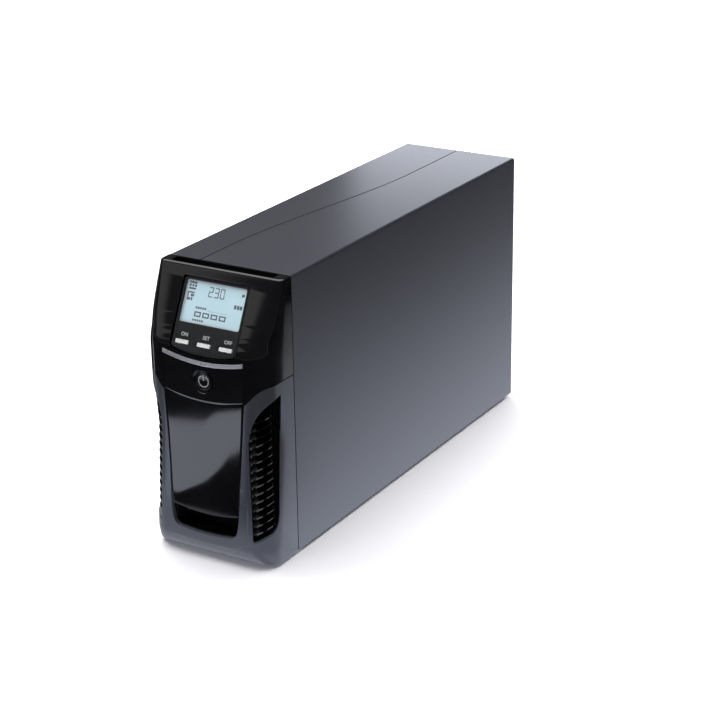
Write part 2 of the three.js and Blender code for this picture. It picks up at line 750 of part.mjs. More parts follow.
function frontFrame() {
  const side = halfW - SHEET * 2 - FIT * 2;
  const top = CASE_H - SHEET - FIT;
  const plate = block(-side, side, FRAME_Y, FRAME_Y + SHEET, SHEET + FIT, top);
  const door = block(-bayHalf, bayHalf, 0, 10, bayFloor + SHEET, shelfZ - BAY_GAP);
  const cableSlot = block(-12, 12, 0, 10, ribbonZ - 6, ribbonZ + 6);
  const airSlots = [];
  for (let flank = -1; flank <= 1; flank += 2) {
    for (let i = 0; i < 7; i += 1) {
      const z = 30 + i * 13;
      airSlots.push(block(flank * (side - 10) - 5, flank * (side - 10) + 5, 0, 10, z, z + 5));
    }
  }
  return cut(plate, door, cableSlot, ...airSlots);
}

function batteryBay() {
  const side = halfW - SHEET * 2 - FIT * 3;
  const start = FRAME_Y + SHEET + FIT;
  const end = start + BATTERY_L * 2 + BAY_GAP * 3 + 6;
  const legs = prism([
    [-bayHalf - SHEET, bayFloor], [bayHalf + SHEET, bayFloor],
    [bayHalf + SHEET, shelfZ], [-bayHalf - SHEET, shelfZ],
  ], 'y', start, end);
  const room = block(-bayHalf, bayHalf, start - 1, end + 1, bayFloor + SHEET, shelfZ - FIT);
  const shelf = block(-side, side, start, CASE_D - 60, shelfZ - FIT, shelfZ - FIT + SHEET);
  return union(cut(legs, room), shelf);
}

function foot() {
  return rod('z', FOOT_R, -FOOT_H, -0.3, 0, 0, 24, FOOT_R - 1);
}

function footPlaces() {
  const x = halfW - FOOT_INSET;
  return [
    ['front_left_foot', -x, FOOT_INSET + 10], ['front_right_foot', x, FOOT_INSET + 10],
    ['rear_left_foot', -x, CASE_D - FOOT_INSET], ['rear_right_foot', x, CASE_D - FOOT_INSET],
  ];
}

// ---------------------------------------------------------------- batteries and leads

function battery() {
  const half = BATTERY_W / 2;
  const body = block(-half, half, 0, BATTERY_L, 0, BATTERY_H - 8);
  const lid = block(-half + 0.8, half - 0.8, 0.8, BATTERY_L - 0.8, BATTERY_H - 9, BATTERY_H);
  const posts = [-1, 1].map((side) => block(side * (half - 10) - 3, side * (half - 10) + 3, 4, 5,
    BATTERY_H - 1, BATTERY_H + TERMINAL_H));
  return union(body, lid, ...posts);
}

function batteryRetainer() {
  const y = -4;
  const reach = bayHalf + 14;
  return union(
    block(-reach, reach, y, y + SHEET + 0.4, 60, 78),
    block(-9, 9, y - 2, y + 1, 64, 74));
}

function batteryLead(side) {
  const x = side * (BATTERY_W / 2 - 10);
  const y = FRAME_Y + SHEET + FIT + BAY_GAP + 4.5;
  const top = bayFloor + SHEET + BAY_GAP + BATTERY_H + TERMINAL_H;
  const start = [x, y + LEAD_R + 1.2, top - 2.5];
  return lead([
    start, [x, y + 14, top - 1.4], [x * 1.02, y + 40, top - 1.4], [x * 1.02, y + 70, top - 1.4],
  ], LEAD_R - 0.6, 10);
}

function batteryLink() {
  const y = FRAME_Y + SHEET + FIT + BAY_GAP + BATTERY_L;
  const z = bayFloor + SHEET + BAY_GAP + BATTERY_H;
  return block(-4, 4, y - 22, y + 24, z + FIT, z + FIT + 4);
}

// ---------------------------------------------------------------- electronics

function transformerCore() {
  const core = block(-CORE_STACK / 2, CORE_STACK / 2, -CORE_L / 2, CORE_L / 2, 0, CORE_H);
  const windows = [-1, 1].map((side) => {
    const y0 = side * LIMB / 2;
    const y1 = side * (CORE_L / 2 - YOKE);
    return block(-CORE_STACK, CORE_STACK, Math.min(y0, y1), Math.max(y0, y1), YOKE, CORE_H - YOKE);
  });
  return cut(core, ...windows);
}

function transformerCoil() {
  const outerY = CORE_L / 2 - YOKE - FIT;
  const outerX = CORE_STACK / 2 + COIL_OVER;
  return cut(
    prism(roundedRect(-outerX, outerX, -outerY, outerY, 5), 'z', YOKE + FIT, CORE_H - YOKE - FIT, 3),
    block(-CORE_STACK / 2 - FIT, CORE_STACK / 2 + FIT, -LIMB / 2 - FIT, LIMB / 2 + FIT, 0, CORE_H));
}

function mainBoard() {
  const side = halfW - SHEET * 2 - 8;
  return block(-side, side, 0, BOARD_L, 0, BOARD_THICK);
}

function heatSink() {
  const points = [[0, 0], [SINK_W, 0]];
  const count = 5;
  const pitch = (SINK_H - 6) / count;
  for (let i = 0; i < count; i += 1) {
    const z = 4 + i * pitch;
    points.push([SINK_W, z], [6, z], [6, z + pitch - 2.5], [SINK_W, z + pitch - 2.5]);
  }
  points.push([SINK_W, SINK_H], [0, SINK_H]);
  return prism(points, 'y', 0, SINK_L);
}

function capacitor() {
  const can = rod('z', CAP_R, 0, CAP_H - 1, 0, 0);
  const rim = rod('z', CAP_R, CAP_H - 1.2, CAP_H, 0, 0, 24, CAP_R - 1);
  return union(can, rim);
}

function ribbonCable() {
  const boardY = FRAME_Y + 20;
  const top = boardZ + BOARD_THICK + FIT;
  const front = -18;
  const rise = ribbonZ + 34;
  const thick = 1;
  return prism([
    [front, rise], [front, ribbonZ + 14], [-4, ribbonZ], [boardY, ribbonZ], [boardY, top],
    [boardY + thick, top], [boardY + thick, ribbonZ + thick], [-4 + thick * 0.5, ribbonZ + thick],
    [front + thick, ribbonZ + 14 + thick * 0.5], [front + thick, rise],
  ], 'x', -8, 8);
}

// ---------------------------------------------------------------- rear panel and its fittings

const fanX = -halfW + FAN_MARGIN + FAN_SIZE / 2;
const fanZ = CASE_H - FAN_MARGIN - FAN_SIZE / 2;
const portX = halfW - PORT_MARGIN;
const portTop = CASE_H - 18;
const inletX = -OUTLET_PITCH_X / 2;
const breakerX = OUTLET_PITCH_X / 2;

function outletPlaces() {
  const places = [];
  for (let row = 0; row < OUTLET_ROWS; row += 1) {
    for (let column = 0; column < 2; column += 1) {
      places.push([(column - 0.5) * OUTLET_PITCH_X, INLET_Z + OUTLET_PITCH_Z * (row + 1) + 4]);
    }
  }
  return places;
}

function iecHole(x, z) {
  return block(x - IEC_W / 2 - FIT, x + IEC_W / 2 + FIT, panelIn - 5, panelOut + 5,
    z - IEC_H / 2 - FIT, z + IEC_H / 2 + FIT);
}

function rearPanel() {
  const side = halfW - SHEET - FIT;
  const plate = block(-side, side, panelIn, panelOut, SHEET + FIT, CASE_H - SHEET - FIT);
  const portHole = (z, w, h) => block(portX - w / 2 - FIT, portX + w / 2 + FIT, panelIn - 5, panelOut + 5,
    z - h / 2 - FIT, z + h / 2 + FIT);
  const slots = [];
  for (let i = 0; i < 6; i += 1) {
    const z = INLET_Z + 36 + i * 9;
    slots.push(block(-halfW + 8, -halfW + 18, panelIn - 5, panelOut + 5, z, z + 4));
    slots.push(block(halfW - 18, halfW - 8, panelIn - 5, panelOut + 5, z, z + 4));
  }
  return cut(plate,
    rod('y', FAN_SIZE / 2 - 2, panelIn - 5, panelOut + 5, fanX, fanZ, 32),
    ...outletPlaces().map(([x, z]) => iecHole(x, z)), iecHole(inletX, INLET_Z),
    rod('y', 6 + FIT, panelIn - 5, panelOut + 5, breakerX, INLET_Z, 24),
    portHole(USB.z, USB.w, USB.h), portHole(SERIAL.z, SERIAL.w, SERIAL.h), portHole(JACK.z, JACK.w, JACK.h),
    rod('y', 2 + FIT, panelIn - 5, panelOut + 5, halfW - 14, 18, 16),
    ...slots);
}

const USB = { w: 12, h: 11, z: portTop };
const SERIAL = { w: 17, h: 31, z: portTop - 34 };
const JACK = { w: 16, h: 28, z: portTop - 74 };

function outlet(x, z) {
  const lip = block(x - IEC_W / 2 - 2.5, x + IEC_W / 2 + 2.5, panelOut + FIT, panelOut + FIT + IEC_LIP,
    z - IEC_H / 2 - 2.5, z + IEC_H / 2 + 2.5);
  const body = block(x - IEC_W / 2, x + IEC_W / 2, panelOut - IEC_DEPTH, panelOut + FIT + 1,
    z - IEC_H / 2, z + IEC_H / 2);
  const face = panelOut + FIT + IEC_LIP;
  const moat = cut(
    block(x - 12, x + 12, face - 15, face + 1, z - 8.2, z + 8.2),
    block(x - 9.4, x + 9.4, face - 16, face - 0.8, z - 5.6, z + 5.6));
  const slots = [[-7, -1], [7, -1], [0, 2]].map(([dx, dz]) => block(x + dx - 1.1, x + dx + 1.1,
    face - 12, face + 1, z + dz - 2.2, z + dz + 2.2));
  return cut(union(lip, body), moat, ...slots);
}

function mainsInlet() {
  const face = panelOut + FIT + IEC_LIP;
  const lip = prism(roundedRect(inletX - IEC_W / 2 - 2.5, inletX + IEC_W / 2 + 2.5,
    INLET_Z - IEC_H / 2 - 9, INLET_Z + IEC_H / 2 + 9, 4), 'y', panelOut + FIT, face, 4);
  const body = block(inletX - IEC_W / 2, inletX + IEC_W / 2, panelOut - IEC_DEPTH, panelOut + FIT + 1,
    INLET_Z - IEC_H / 2, INLET_Z + IEC_H / 2);
  const cavity = prism([
    [inletX - 12, INLET_Z - 8.2], [inletX + 12, INLET_Z - 8.2], [inletX + 12, INLET_Z + 3.2],
    [inletX + 7, INLET_Z + 8.2], [inletX - 7, INLET_Z + 8.2], [inletX - 12, INLET_Z + 3.2],
  ], 'y', face - 17, face + 1);
  const pins = [[-7, -1], [7, -1], [0, 3]].map(([dx, dz]) => block(inletX + dx - 1, inletX + dx + 1,
    face - 18, face - 3, INLET_Z + dz - 2, INLET_Z + dz + 2));
  return union(cut(union(lip, body), cavity), ...pins);
}

function breakerBody() {
  const nut = rod('y', 8.5, panelOut + FIT, panelOut + 2.6, breakerX, INLET_Z, 6);
  const neck = rod('y', 6, panelIn - 8, panelOut + 2.8, breakerX, INLET_Z, 24);
  const body = block(breakerX - 7, breakerX + 7, panelIn - 30, panelIn - FIT - 0.4,
    INLET_Z - 13, INLET_Z + 13);
  const bore = rod('y', 3.4 + FIT, panelIn - 14, panelOut + 5, breakerX, INLET_Z, 20);
  return cut(union(nut, neck, body), bore);
}

function breakerButton() {
  return rod('y', 3.4, panelIn - 8, panelOut + 3.6, breakerX, INLET_Z, 20);
}

function fanFrame() {
  const back = panelIn - FIT;
  const front = back - FAN_THICK;
  const half = FAN_SIZE / 2;
  const shell = cut(
    prism(roundedRect(fanX - half, fanX + half, fanZ - half, fanZ + half, 4), 'y', front, back, 3),
    rod('y', half - 2.5, front - 1, back + 1, fanX, fanZ, 32));
  const hub = rod('y', 13, front, front + 1.6, fanX, fanZ, 24);
  const arms = union(
    block(fanX - half + 1, fanX + half - 1, front, front + 1.6, fanZ - 2, fanZ + 2),
    block(fanX - 2, fanX + 2, front, front + 1.6, fanZ - half + 1, fanZ + half - 1));
  return union(shell, hub, arms);
}

// The rotor is drawn about its own axle, so that its joint turns it about the node's centre.
function fanRotor() {
  const reach = FAN_SIZE / 2 - 4;
  const width = FAN_THICK - 4;
  const hub = rod('y', 13, -width / 2, width / 2, 0, 0, 24);
  const blades = [];
  for (let i = 0; i < BLADES; i += 1) {
    const blade = new THREE.BoxGeometry(reach - 9, 1.2, width * 1.15);
    blade.rotateX(THREE.MathUtils.degToRad(-52));
    blade.translate((reach + 9) / 2, 0, 0);
    blade.rotateY((i / BLADES) * Math.PI * 2);
    blades.push(solidOf(blade));
  }
  return union(hub, ...blades).intersect(rod('y', reach, -width / 2, width / 2, 0, 0, 32));
}

function guardRing(radius, wire, y) {
  const half = wire / 2;
  const profile = [
    [radius - half, y - half], [radius + half, y - half],
    [radius + half, y + half], [radius - half, y + half], [radius - half, y - half],
  ].map(([r, h]) => new THREE.Vector2(r, h));
  return solidOf(new THREE.LatheGeometry(profile, 24).translate(fanX, 0, fanZ));
}

function fanGuard() {
  const y = panelOut + FIT + 1.2;
  const reach = FAN_SIZE / 2;
  const rings = [0.33, 0.66].map((share) => guardRing(reach * share, 1.6, y));
  const rim = guardRing(reach - 0.8, 1.6, y);
  const bars = [Math.PI / 4, -Math.PI / 4].map((turn) => {
    const bar = new THREE.BoxGeometry(reach * 2 + 11, 1.4, 2);
    return solidOf(bar.rotateY(turn).translate(fanX, y, fanZ));
  });
  return union(...rings, rim, ...bars);
}

function usbPort() {
  const z = USB.z;
  const face = panelOut + 1;
  const shell = block(portX - USB.w / 2, portX + USB.w / 2, panelIn - 16, face, z - USB.h / 2, z + USB.h / 2);
  const mouth = block(portX - 4.4, portX + 4.4, face - 11, face + 1, z - 4, z + 4);
  const tongue = block(portX - 2.8, portX + 2.8, face - 12, face - 1.5, z + 0.6, z + 2.6);
  return union(cut(shell, mouth), tongue);
}

function serialPort() {
  const z = SERIAL.z;
  const face = panelOut + 4 - FIT;
  const body = block(portX - SERIAL.w / 2, portX + SERIAL.w / 2, panelIn - 12, panelOut + 0.8,
    z - SERIAL.h / 2, z + SERIAL.h / 2);
  const shell = prism([
    [portX - 4, z - 8], [portX + 4, z - 9], [portX + 4, z + 9], [portX - 4, z + 8]], 'y', panelOut, face);
  const nuts = [-1, 1].map((side) => rod('y', 2.6, panelOut, face - 0.6, portX, z + side * 12.4, 6));
  return union(body, shell, ...nuts);
}

function surgeJacks() {
  const z = JACK.z;
  const face = panelOut + 0.8;
  const body = block(portX - JACK.w / 2, portX + JACK.w / 2, panelIn - 16, face,
    z - JACK.h / 2, z + JACK.h / 2);
  const mouths = [-1, 1].map((side) => {
    const at = z + side * 6.8;
    return union(
      block(portX - 6, portX + 5, face - 13, face + 1, at - 4.6, at + 4.6),
      block(portX + 4.9, portX + 6.6, face - 13, face + 1, at - 2, at + 2));
  });
  return cut(body, ...mouths);
}

function groundScrew() {
  return union(
    rod('y', 2, panelIn - 6, panelOut + 2, halfW - 14, 18, 16),
    rod('y', 4.2, panelOut + FIT, panelOut + 3, halfW - 14, 18, 20, 3.4));
}

// ---------------------------------------------------------------- assembly

function finish(color, roughness, metalness) {
  return () => new THREE.MeshStandardMaterial({ color, roughness, metalness });
}

const FINISH = {
  paint: finish(0x4a4f58, 0.42, 0.5),
  bezel: finish(0x565b64, 0.4, 0.4),
  gloss: finish(0x0c0d10, 0.14, 0),
  satinBlack: finish(0x16181b, 0.4, 0),
  matteBlack: finish(0x101113, 0.7, 0),
  silver: finish(0x9b9ca3, 0.35, 0.5),
  white: finish(0xf0f0ee, 0.4, 0),
  lcd: finish(0xa9c4cf, 0.25, 0),
  glass: finish(0xdfe8ec, 0.05, 0),
  board: finish(0x1f5a38, 0.5, 0),
  zinc: finish(0xa7abb0, 0.4, 0.9),
  iron: finish(0x5b5d60, 0.5, 0.8),
  varnish: finish(0x8a5a22, 0.5, 0.1),
  grey: finish(0x3a3d41, 0.55, 0),
  aluminium: finish(0xb5b9bd, 0.4, 0.9),
  red: finish(0xb01a18, 0.5, 0),
  ribbon: finish(0xb9bcc0, 0.6, 0),
  rubber: finish(0x17181a, 0.9, 0),
};

const unit = new THREE.Group();
unit.position.set(0, (frontReach() - CASE_D) / 2, FOOT_H);
unit.add(displayGroup);

function frontReach() {
  return BULGE + RIDGE * SKIN_LEAN;
}

function place(name, body, look, position = [0, 0, 0], parent = unit) {
  const mesh = new THREE.Mesh(geometryOf(body), FINISH[look]());
  mesh.name = name;
  mesh.position.set(...position);
  parent.add(mesh);
}

function placeCase() {
  place('base_chassis', baseChassis(), 'zinc');
  place('left_cover', leftCover(), 'paint');
  place('right_cover', rightCover(), 'paint');
  place('rear_panel', rearPanel(), 'paint');
  place('front_frame', frontFrame(), 'matteBlack');
  place('battery_bay', batteryBay(), 'zinc');
  footPlaces().forEach(([name, x, y]) => place(name, foot(), 'rubber', [x, y, 0]));
}

function placeFront() {
  const vane = louvre();
  place('upper_bezel', upperBezel(), 'gloss');
  place('lower_bezel', lowerBezel(), 'bezel');
  place('right_louvre', vane, 'matteBlack');
  place('left_louvre', mirrored(vane), 'matteBlack');
  place('trim_arc', frontPiece(arcStrip(bandHalf, bandTop, arcTop), ARC_PROUD, SKIN), 'silver');
  place('button_band', buttonBand(), 'gloss');
  place('power_button', powerButton(), 'gloss');
  place('power_switch', powerSwitch(), 'grey');
  place('front_door', frontDoor(), 'gloss');
  place('recess_liner', recessLiner(), 'matteBlack');
}

function placeDisplay() {
  place('display_panel', displayPanel(), 'satinBlack', [0, 0, 0], displayGroup);
  place('lcd_lens', lcdLens(), 'glass', [0, 0, 0], displayGroup);
  place('lcd_module', lcdModule(), 'lcd', [0, 0, 0], displayGroup);
  place('display_board', displayBoard(), 'board', [0, 0, 0], displayGroup);
  const names = ['on_key', 'select_key', 'standby_key'];
  keyPlaces().forEach((x, i) => place(names[i], panelKey(), 'white', [x, 0, KEY_FOOT], displayGroup));
}

function placeBatteries() {
  const z = bayFloor + SHEET + FIT;
  const y = FRAME_Y + SHEET + FIT + BAY_GAP;
  place('battery_front', battery(), 'grey', [0, y, z]);
  place('battery_rear', battery(), 'grey', [0, y + BATTERY_L + BAY_GAP, z]);
  place('battery_retainer', batteryRetainer(), 'zinc');
  place('battery_link', batteryLink(), 'red');
  place('battery_lead_red', batteryLead(1), 'red');
  place('battery_lead_black', batteryLead(-1), 'matteBlack');
}

function placeElectronics() {
  const boardY = FRAME_Y + 18;
  const onBoard = boardZ + BOARD_THICK + FIT;
  const coreY = boardY + BOARD_L + CORE_L / 2 + 6;
  const coreZ = shelfZ + SHEET;
  place('main_board', mainBoard(), 'board', [0, boardY, boardZ]);
  place('heatsink_left', mirrored(heatSink()), 'aluminium', [-18, boardY + 40, onBoard]);
  place('heatsink_right', heatSink(), 'aluminium', [18, boardY + 40, onBoard]);
  place('capacitor_1', capacitor(), 'grey', [-16, boardY + 165, onBoard]);
  place('capacitor_2', capacitor(), 'grey', [16, boardY + 165, onBoard]);
  [1, 2].forEach((i) => {
    const x = i === 1 ? -34 : 6;
    place(`relay_${i}`, block(0, RELAY, 0, 13, 0, 16), 'satinBlack', [x, boardY + 196, onBoard]);
  });
  place('transformer_core', transformerCore(), 'iron', [0, coreY, coreZ]);
  place('transformer_coil', transformerCoil(), 'varnish', [0, coreY, coreZ]);
  place('ribbon_cable', ribbonCable(), 'ribbon');
}

function placeRear() {
  place('mains_inlet', mainsInlet(), 'satinBlack');
  place('breaker_body', breakerBody(), 'satinBlack');
  place('breaker_button', breakerButton(), 'satinBlack');
  outletPlaces().forEach(([x, z], i) => place(`outlet_${i + 1}`, outlet(x, z), 'satinBlack'));
  place('fan_frame', fanFrame(), 'satinBlack');
  place('fan_rotor', fanRotor(), 'satinBlack', [fanX, panelIn - FIT - FAN_THICK / 2 + 0.8, fanZ]);
  place('fan_guard', fanGuard(), 'zinc');
  place('usb_port', usbPort(), 'zinc');
  place('serial_port', serialPort(), 'zinc');
  place('surge_jacks', surgeJacks(), 'satinBlack');
  place('ground_screw', groundScrew(), 'zinc');
}

placeCase();
placeFront();
placeDisplay();
placeBatteries();
placeElectronics();
placeRear();

export default unit;
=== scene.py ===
"""Looks of a slim tower power supply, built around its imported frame."""

import json
import math

import bpy
from bpy.props import FloatProperty, FloatVectorProperty, IntProperty, PointerProperty, StringProperty
from mathutils import Matrix, Vector


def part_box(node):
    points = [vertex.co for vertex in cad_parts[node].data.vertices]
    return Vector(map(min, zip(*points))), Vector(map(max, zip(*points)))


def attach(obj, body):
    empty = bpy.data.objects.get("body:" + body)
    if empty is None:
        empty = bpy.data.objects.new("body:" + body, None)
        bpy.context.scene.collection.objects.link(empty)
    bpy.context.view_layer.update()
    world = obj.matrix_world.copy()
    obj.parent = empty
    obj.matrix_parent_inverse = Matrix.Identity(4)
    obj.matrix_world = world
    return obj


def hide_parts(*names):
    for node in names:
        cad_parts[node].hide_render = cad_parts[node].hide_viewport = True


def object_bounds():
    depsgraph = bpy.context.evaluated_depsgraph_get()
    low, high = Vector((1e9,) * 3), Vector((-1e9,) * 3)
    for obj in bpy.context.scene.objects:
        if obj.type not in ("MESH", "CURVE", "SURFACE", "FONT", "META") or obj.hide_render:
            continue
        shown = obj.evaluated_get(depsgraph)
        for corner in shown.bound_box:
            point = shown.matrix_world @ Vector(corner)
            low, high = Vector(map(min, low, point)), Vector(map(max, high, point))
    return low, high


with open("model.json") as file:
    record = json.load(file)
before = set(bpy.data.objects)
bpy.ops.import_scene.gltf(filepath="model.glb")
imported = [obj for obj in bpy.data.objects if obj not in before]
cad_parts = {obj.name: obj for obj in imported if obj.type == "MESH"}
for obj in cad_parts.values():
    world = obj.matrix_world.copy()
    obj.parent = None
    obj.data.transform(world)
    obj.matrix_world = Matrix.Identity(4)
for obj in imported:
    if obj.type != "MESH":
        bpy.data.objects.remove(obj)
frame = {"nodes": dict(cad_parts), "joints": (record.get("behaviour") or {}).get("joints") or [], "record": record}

bl_info = {
    "name": "Tower power supply",
    "version": (1, 0, 0),
    "blender": (4, 5, 0),
    "location": "3D View > Sidebar > Power supply",
    "description": "Bezels, door, display, covers, sockets and finishes of an uninterruptible power supply",
    "category": "Object",
}

FRAME_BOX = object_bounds()

# ------------------------------------------------------------------ the case frame

# Sizes are in millimetres in the case frame: x from the middle, y from the bezel joint,
# z from the case floor.
MM = 0.001
JOINT_GAP = 1.0
FIT = 0.4

COVER_LOW, COVER_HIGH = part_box("right_cover")
HALF_WIDTH = COVER_HIGH.x / MM
CASE_HEIGHT = (COVER_HIGH.z - COVER_LOW.z) / MM
CASE_ORIGIN = Vector((0, COVER_LOW.y - JOINT_GAP / 2 * MM, COVER_LOW.z))
BEZEL_REAR = -JOINT_GAP / 2

SKIN = 2.4
SKIN_LEAN = 1.15
ROOF = 6.5
ROOF_FALL = 0.4
TOP_DEPTH = 13.2
ROOF_SLOPE = ROOF_FALL / (TOP_DEPTH + 8)
HEAD_TILT = math.radians(25.9)
HEAD_HEIGHT = 65
BULGE = 48.2
CHEEK = 20.6
ARC_RADIUS = 153
ARC_HEIGHT = 3.6
ARC_PROUD = 0.5
BAND_HEIGHT = 31.3
BAND_HALF = HALF_WIDTH - CHEEK
ARC_TOP = CASE_HEIGHT - HEAD_HEIGHT
BAND_TOP = ARC_TOP - ARC_HEIGHT
BAND_BOTTOM = BAND_TOP - BAND_HEIGHT
SPLIT_HEIGHT = CASE_HEIGHT - 84
SPLIT_GAP = 0.9
CHANNEL_HALF = 50
CHANNEL_FRONT = 10.5
CHANNEL_DEPTH = 3.2

DOOR_GAP = 0.8
DOOR_TAPER = 6.2
DOOR_BOTTOM = 45.2
DOOR_THICK = 3.0
RECESS_FLOOR = 24.7
RECESS_CORNER = 8
RIDGE = 0.9

VENT_BOTTOM = 24
VENT_TIP = CASE_HEIGHT - 95.4
VENT_LENGTH = 27.6
VENT_EDGE = 0.81
FIN_COUNT = 15
FIN_START = 29
FIN_HEADROOM = 16.1
FIN_PITCH = (VENT_TIP - FIN_START - FIN_HEADROOM) / FIN_COUNT
FIN_RUN = 19
FIN_RISE = 7

PANEL_WIDTH = 63.5
PANEL_HEIGHT = 58.5
PANEL_FOOT = CASE_HEIGHT - 62
PANEL_SUNK = 1.8
PANEL_GAP = 0.8
LCD_WIDTH = 58.5
LCD_HEIGHT = 35
LCD_FOOT = 21.3
LCD_FACE = 2.6
KEY_PITCH = 21.3
KEY_FOOT = 5

POWER_RADIUS = 8
DISH_RADIUS = 10.2
DISH_DEPTH = 1.4
POWER_PROUD = 0.6
POWER_HEIGHT = BAND_BOTTOM + 12.5

# Cutters reach this far beyond the bezels at the sides, in front and behind.
PAST_SIDE = HALF_WIDTH + 9
PAST_FRONT = -90
PAST_REAR = 20


def through(stations, z):
    """Smooth curve through stations (z, value), held level outside its ends."""
    last = len(stations) - 1
    if z <= stations[0][0]:
        return stations[0][1]
    if z >= stations[last][0]:
        return stations[last][1]
    i = max(k for k in range(last) if stations[k][0] <= z)
    slopes = [(b[1] - a[1]) / (b[0] - a[0]) for a, b in zip(stations, stations[1:])]

    def tangent(k):
        if k in (0, last):
            return slopes[i]
        before, after = slopes[k - 1], slopes[k]
        return 0 if before * after <= 0 else 2 * before * after / (before + after)

    width = stations[i + 1][0] - stations[i][0]
    t = (z - stations[i][0]) / width
    a, b = stations[i][1], stations[i + 1][1]
    rise = tangent(i) * t * (1 - t) ** 2 + tangent(i + 1) * t * t * (t - 1)
    return a * (1 + 2 * t) * (1 - t) ** 2 + b * t * t * (3 - 2 * t) + width * rise


def smooth_step(value, low, high):
    t = min(max((value - low) / (high - low), 0), 1)
    return t * t * (3 - 2 * t)


def head_depth(z):
    return TOP_DEPTH + (CASE_HEIGHT - z) * math.tan(HEAD_TILT)


def lower_depth(z):
    return through([
        (0, 37), (8, 43), (16, 46.8), (26, BULGE), (DOOR_BOTTOM, 47.6),
        (BAND_BOTTOM - 36, 44.2), (BAND_BOTTOM, 43.2), (ARC_TOP, 42.6),
    ], z)


def front_depth(z):
    """How far the bezels' front stands before the joint: the head leans back above the trim arc."""
    low, high, soft = lower_depth(z), head_depth(z), 3
    near = max(soft - abs(low - high), 0) / soft
    return min(low, high) - near * near * soft / 4


def corner_width(z):
    return through([
        (0, CHEEK / 2), (10, 16), (24, CHEEK - 1), (DOOR_BOTTOM, CHEEK), (ARC_TOP - 4, CHEEK),
        (ARC_TOP + 10, 17), (CASE_HEIGHT - 36, 12), (CASE_HEIGHT - 16, 9), (CASE_HEIGHT, 5),
    ], z)


def corner_depth(z):
    return through([
        (0, 10), (10, 19), (24, 26), (60, 28), (BAND_BOTTOM - 38, 30), (BAND_BOTTOM - 19, 23),
        (BAND_BOTTOM - 5, 19), (BAND_BOTTOM + 8, 17), (ARC_TOP, 16), (ARC_TOP + 9, 15.5),
        (CASE_HEIGHT - 37, 9), (CASE_HEIGHT - 16, 5.5), (CASE_HEIGHT, 4),
    ], z)


def form_ring(z, inset=0.0, rear=BEZEL_REAR):
    """One level of the bezels' form, from the rear left round the front to the rear right."""
    segments = 18
    side = HALF_WIDTH - inset
    front = -front_depth(z) + inset * SKIN_LEAN
    across = max(corner_width(z) - inset * 0.3, 1)
    along = max(corner_depth(z) - inset * 0.3, 1)
    right = [(side, rear), (side, (rear + front + along) / 2)]
    for i in range(segments + 1):
        turn = i / segments * math.pi / 2
        right.append((side - across * (1 - math.cos(turn)), front + along * (1 - math.sin(turn))))
    left = [(-x, y) for x, y in right]
    return [(x, y, z) for x, y in left + right[::-1]]


def dip(half):
    return ARC_RADIUS - math.sqrt(ARC_RADIUS ** 2 - half ** 2)


def arc_height(x, level):
    """Height of a hanging arc that meets the band's sides at a level."""
    return level - dip(BAND_HALF) + dip(min(abs(x), BAND_HALF + FIT))


def door_half(z):
    return BAND_HALF - FIT - DOOR_TAPER * (BAND_BOTTOM - z) / (BAND_BOTTOM - DOOR_BOTTOM)


def door_point(s, t):
    """Point on the door's face for s across and t up, each from 0 to 1."""
    level = DOOR_BOTTOM + (BAND_BOTTOM - DOOR_GAP - DOOR_BOTTOM) * t
    x = (2 * s - 1) * door_half(level)
    z = arc_height(x, level)
    return (x, -front_depth(z), z)


def split_height(x):
    """Height of the joint between the upper and lower bezel at a distance from the middle."""
    t = min(max((abs(x) - BAND_HALF - FIT) / (CHEEK - FIT), 0), 1)
    return BAND_BOTTOM + (SPLIT_HEIGHT - BAND_BOTTOM) * math.sin(t * math.pi / 2) ** 1.15


def quadratic(start, control, end, count=8):
    """Points after the start of a quadratic curve, up to its end."""
    points = []
    for i in range(1, count + 1):
        t = i / count
        points.append(tuple(
            (1 - t) ** 2 * a + 2 * t * (1 - t) * c + t * t * b for a, c, b in zip(start, control, end)))
    return points


# ------------------------------------------------------------------ modelling helpers

def select_none():
    if bpy.context.mode != "OBJECT":
        bpy.ops.object.mode_set(mode="OBJECT")
    bpy.ops.object.select_all(action="DESELECT")


def make_active(piece):
    select_none()
    piece.select_set(True)
    bpy.context.view_layer.objects.active = piece


def edit_all(piece, *steps):
    """Runs edit mode operators, each given as (operator, settings), on the whole mesh."""
    make_active(piece)
    bpy.ops.object.mode_set(mode="EDIT")
    bpy.ops.mesh.select_all(action="SELECT")
    for operator, settings in steps:
        operator(**settings)
    bpy.ops.object.mode_set(mode="OBJECT")


def outward(piece):
    edit_all(piece, (bpy.ops.mesh.normals_make_consistent, {"inside": False}))


def apply_modifier(piece, kind, **settings):
    make_active(piece)
    modifier = piece.modifiers.new(kind.title(), kind)
    for key, value in settings.items():
        setattr(modifier, key, value)
    bpy.ops.object.modifier_apply(modifier=modifier.name)
    return piece


def bevelled(piece, width, segments=2, angle=35):
    """Rounds every edge sharper than an angle. The width is in the mesh's own unit."""
    return apply_modifier(
        piece, "BEVEL", width=width, segments=segments, limit_method="ANGLE",
        angle_limit=math.radians(angle), miter_outer="MITER_ARC", harden_normals=False)


def smoothed(piece, angle=28):
    make_active(piece)
    bpy.ops.object.shade_smooth_by_angle(angle=math.radians(angle))
    return piece


def combined(piece, other, operation):
    """Boolean of a piece with another one, which is used up."""
    apply_modifier(piece, "BOOLEAN", object=other, operation=operation, solver="EXACT")
    bpy.data.objects.remove(other)
    return piece


def joined(name, pieces):
    select_none()
    for piece in pieces:
        piece.select_set(True)
    bpy.context.view_layer.objects.active = pieces[0]
    if len(pieces) > 1:
        bpy.ops.object.join()
    pieces[0].name = name
    return pieces[0]


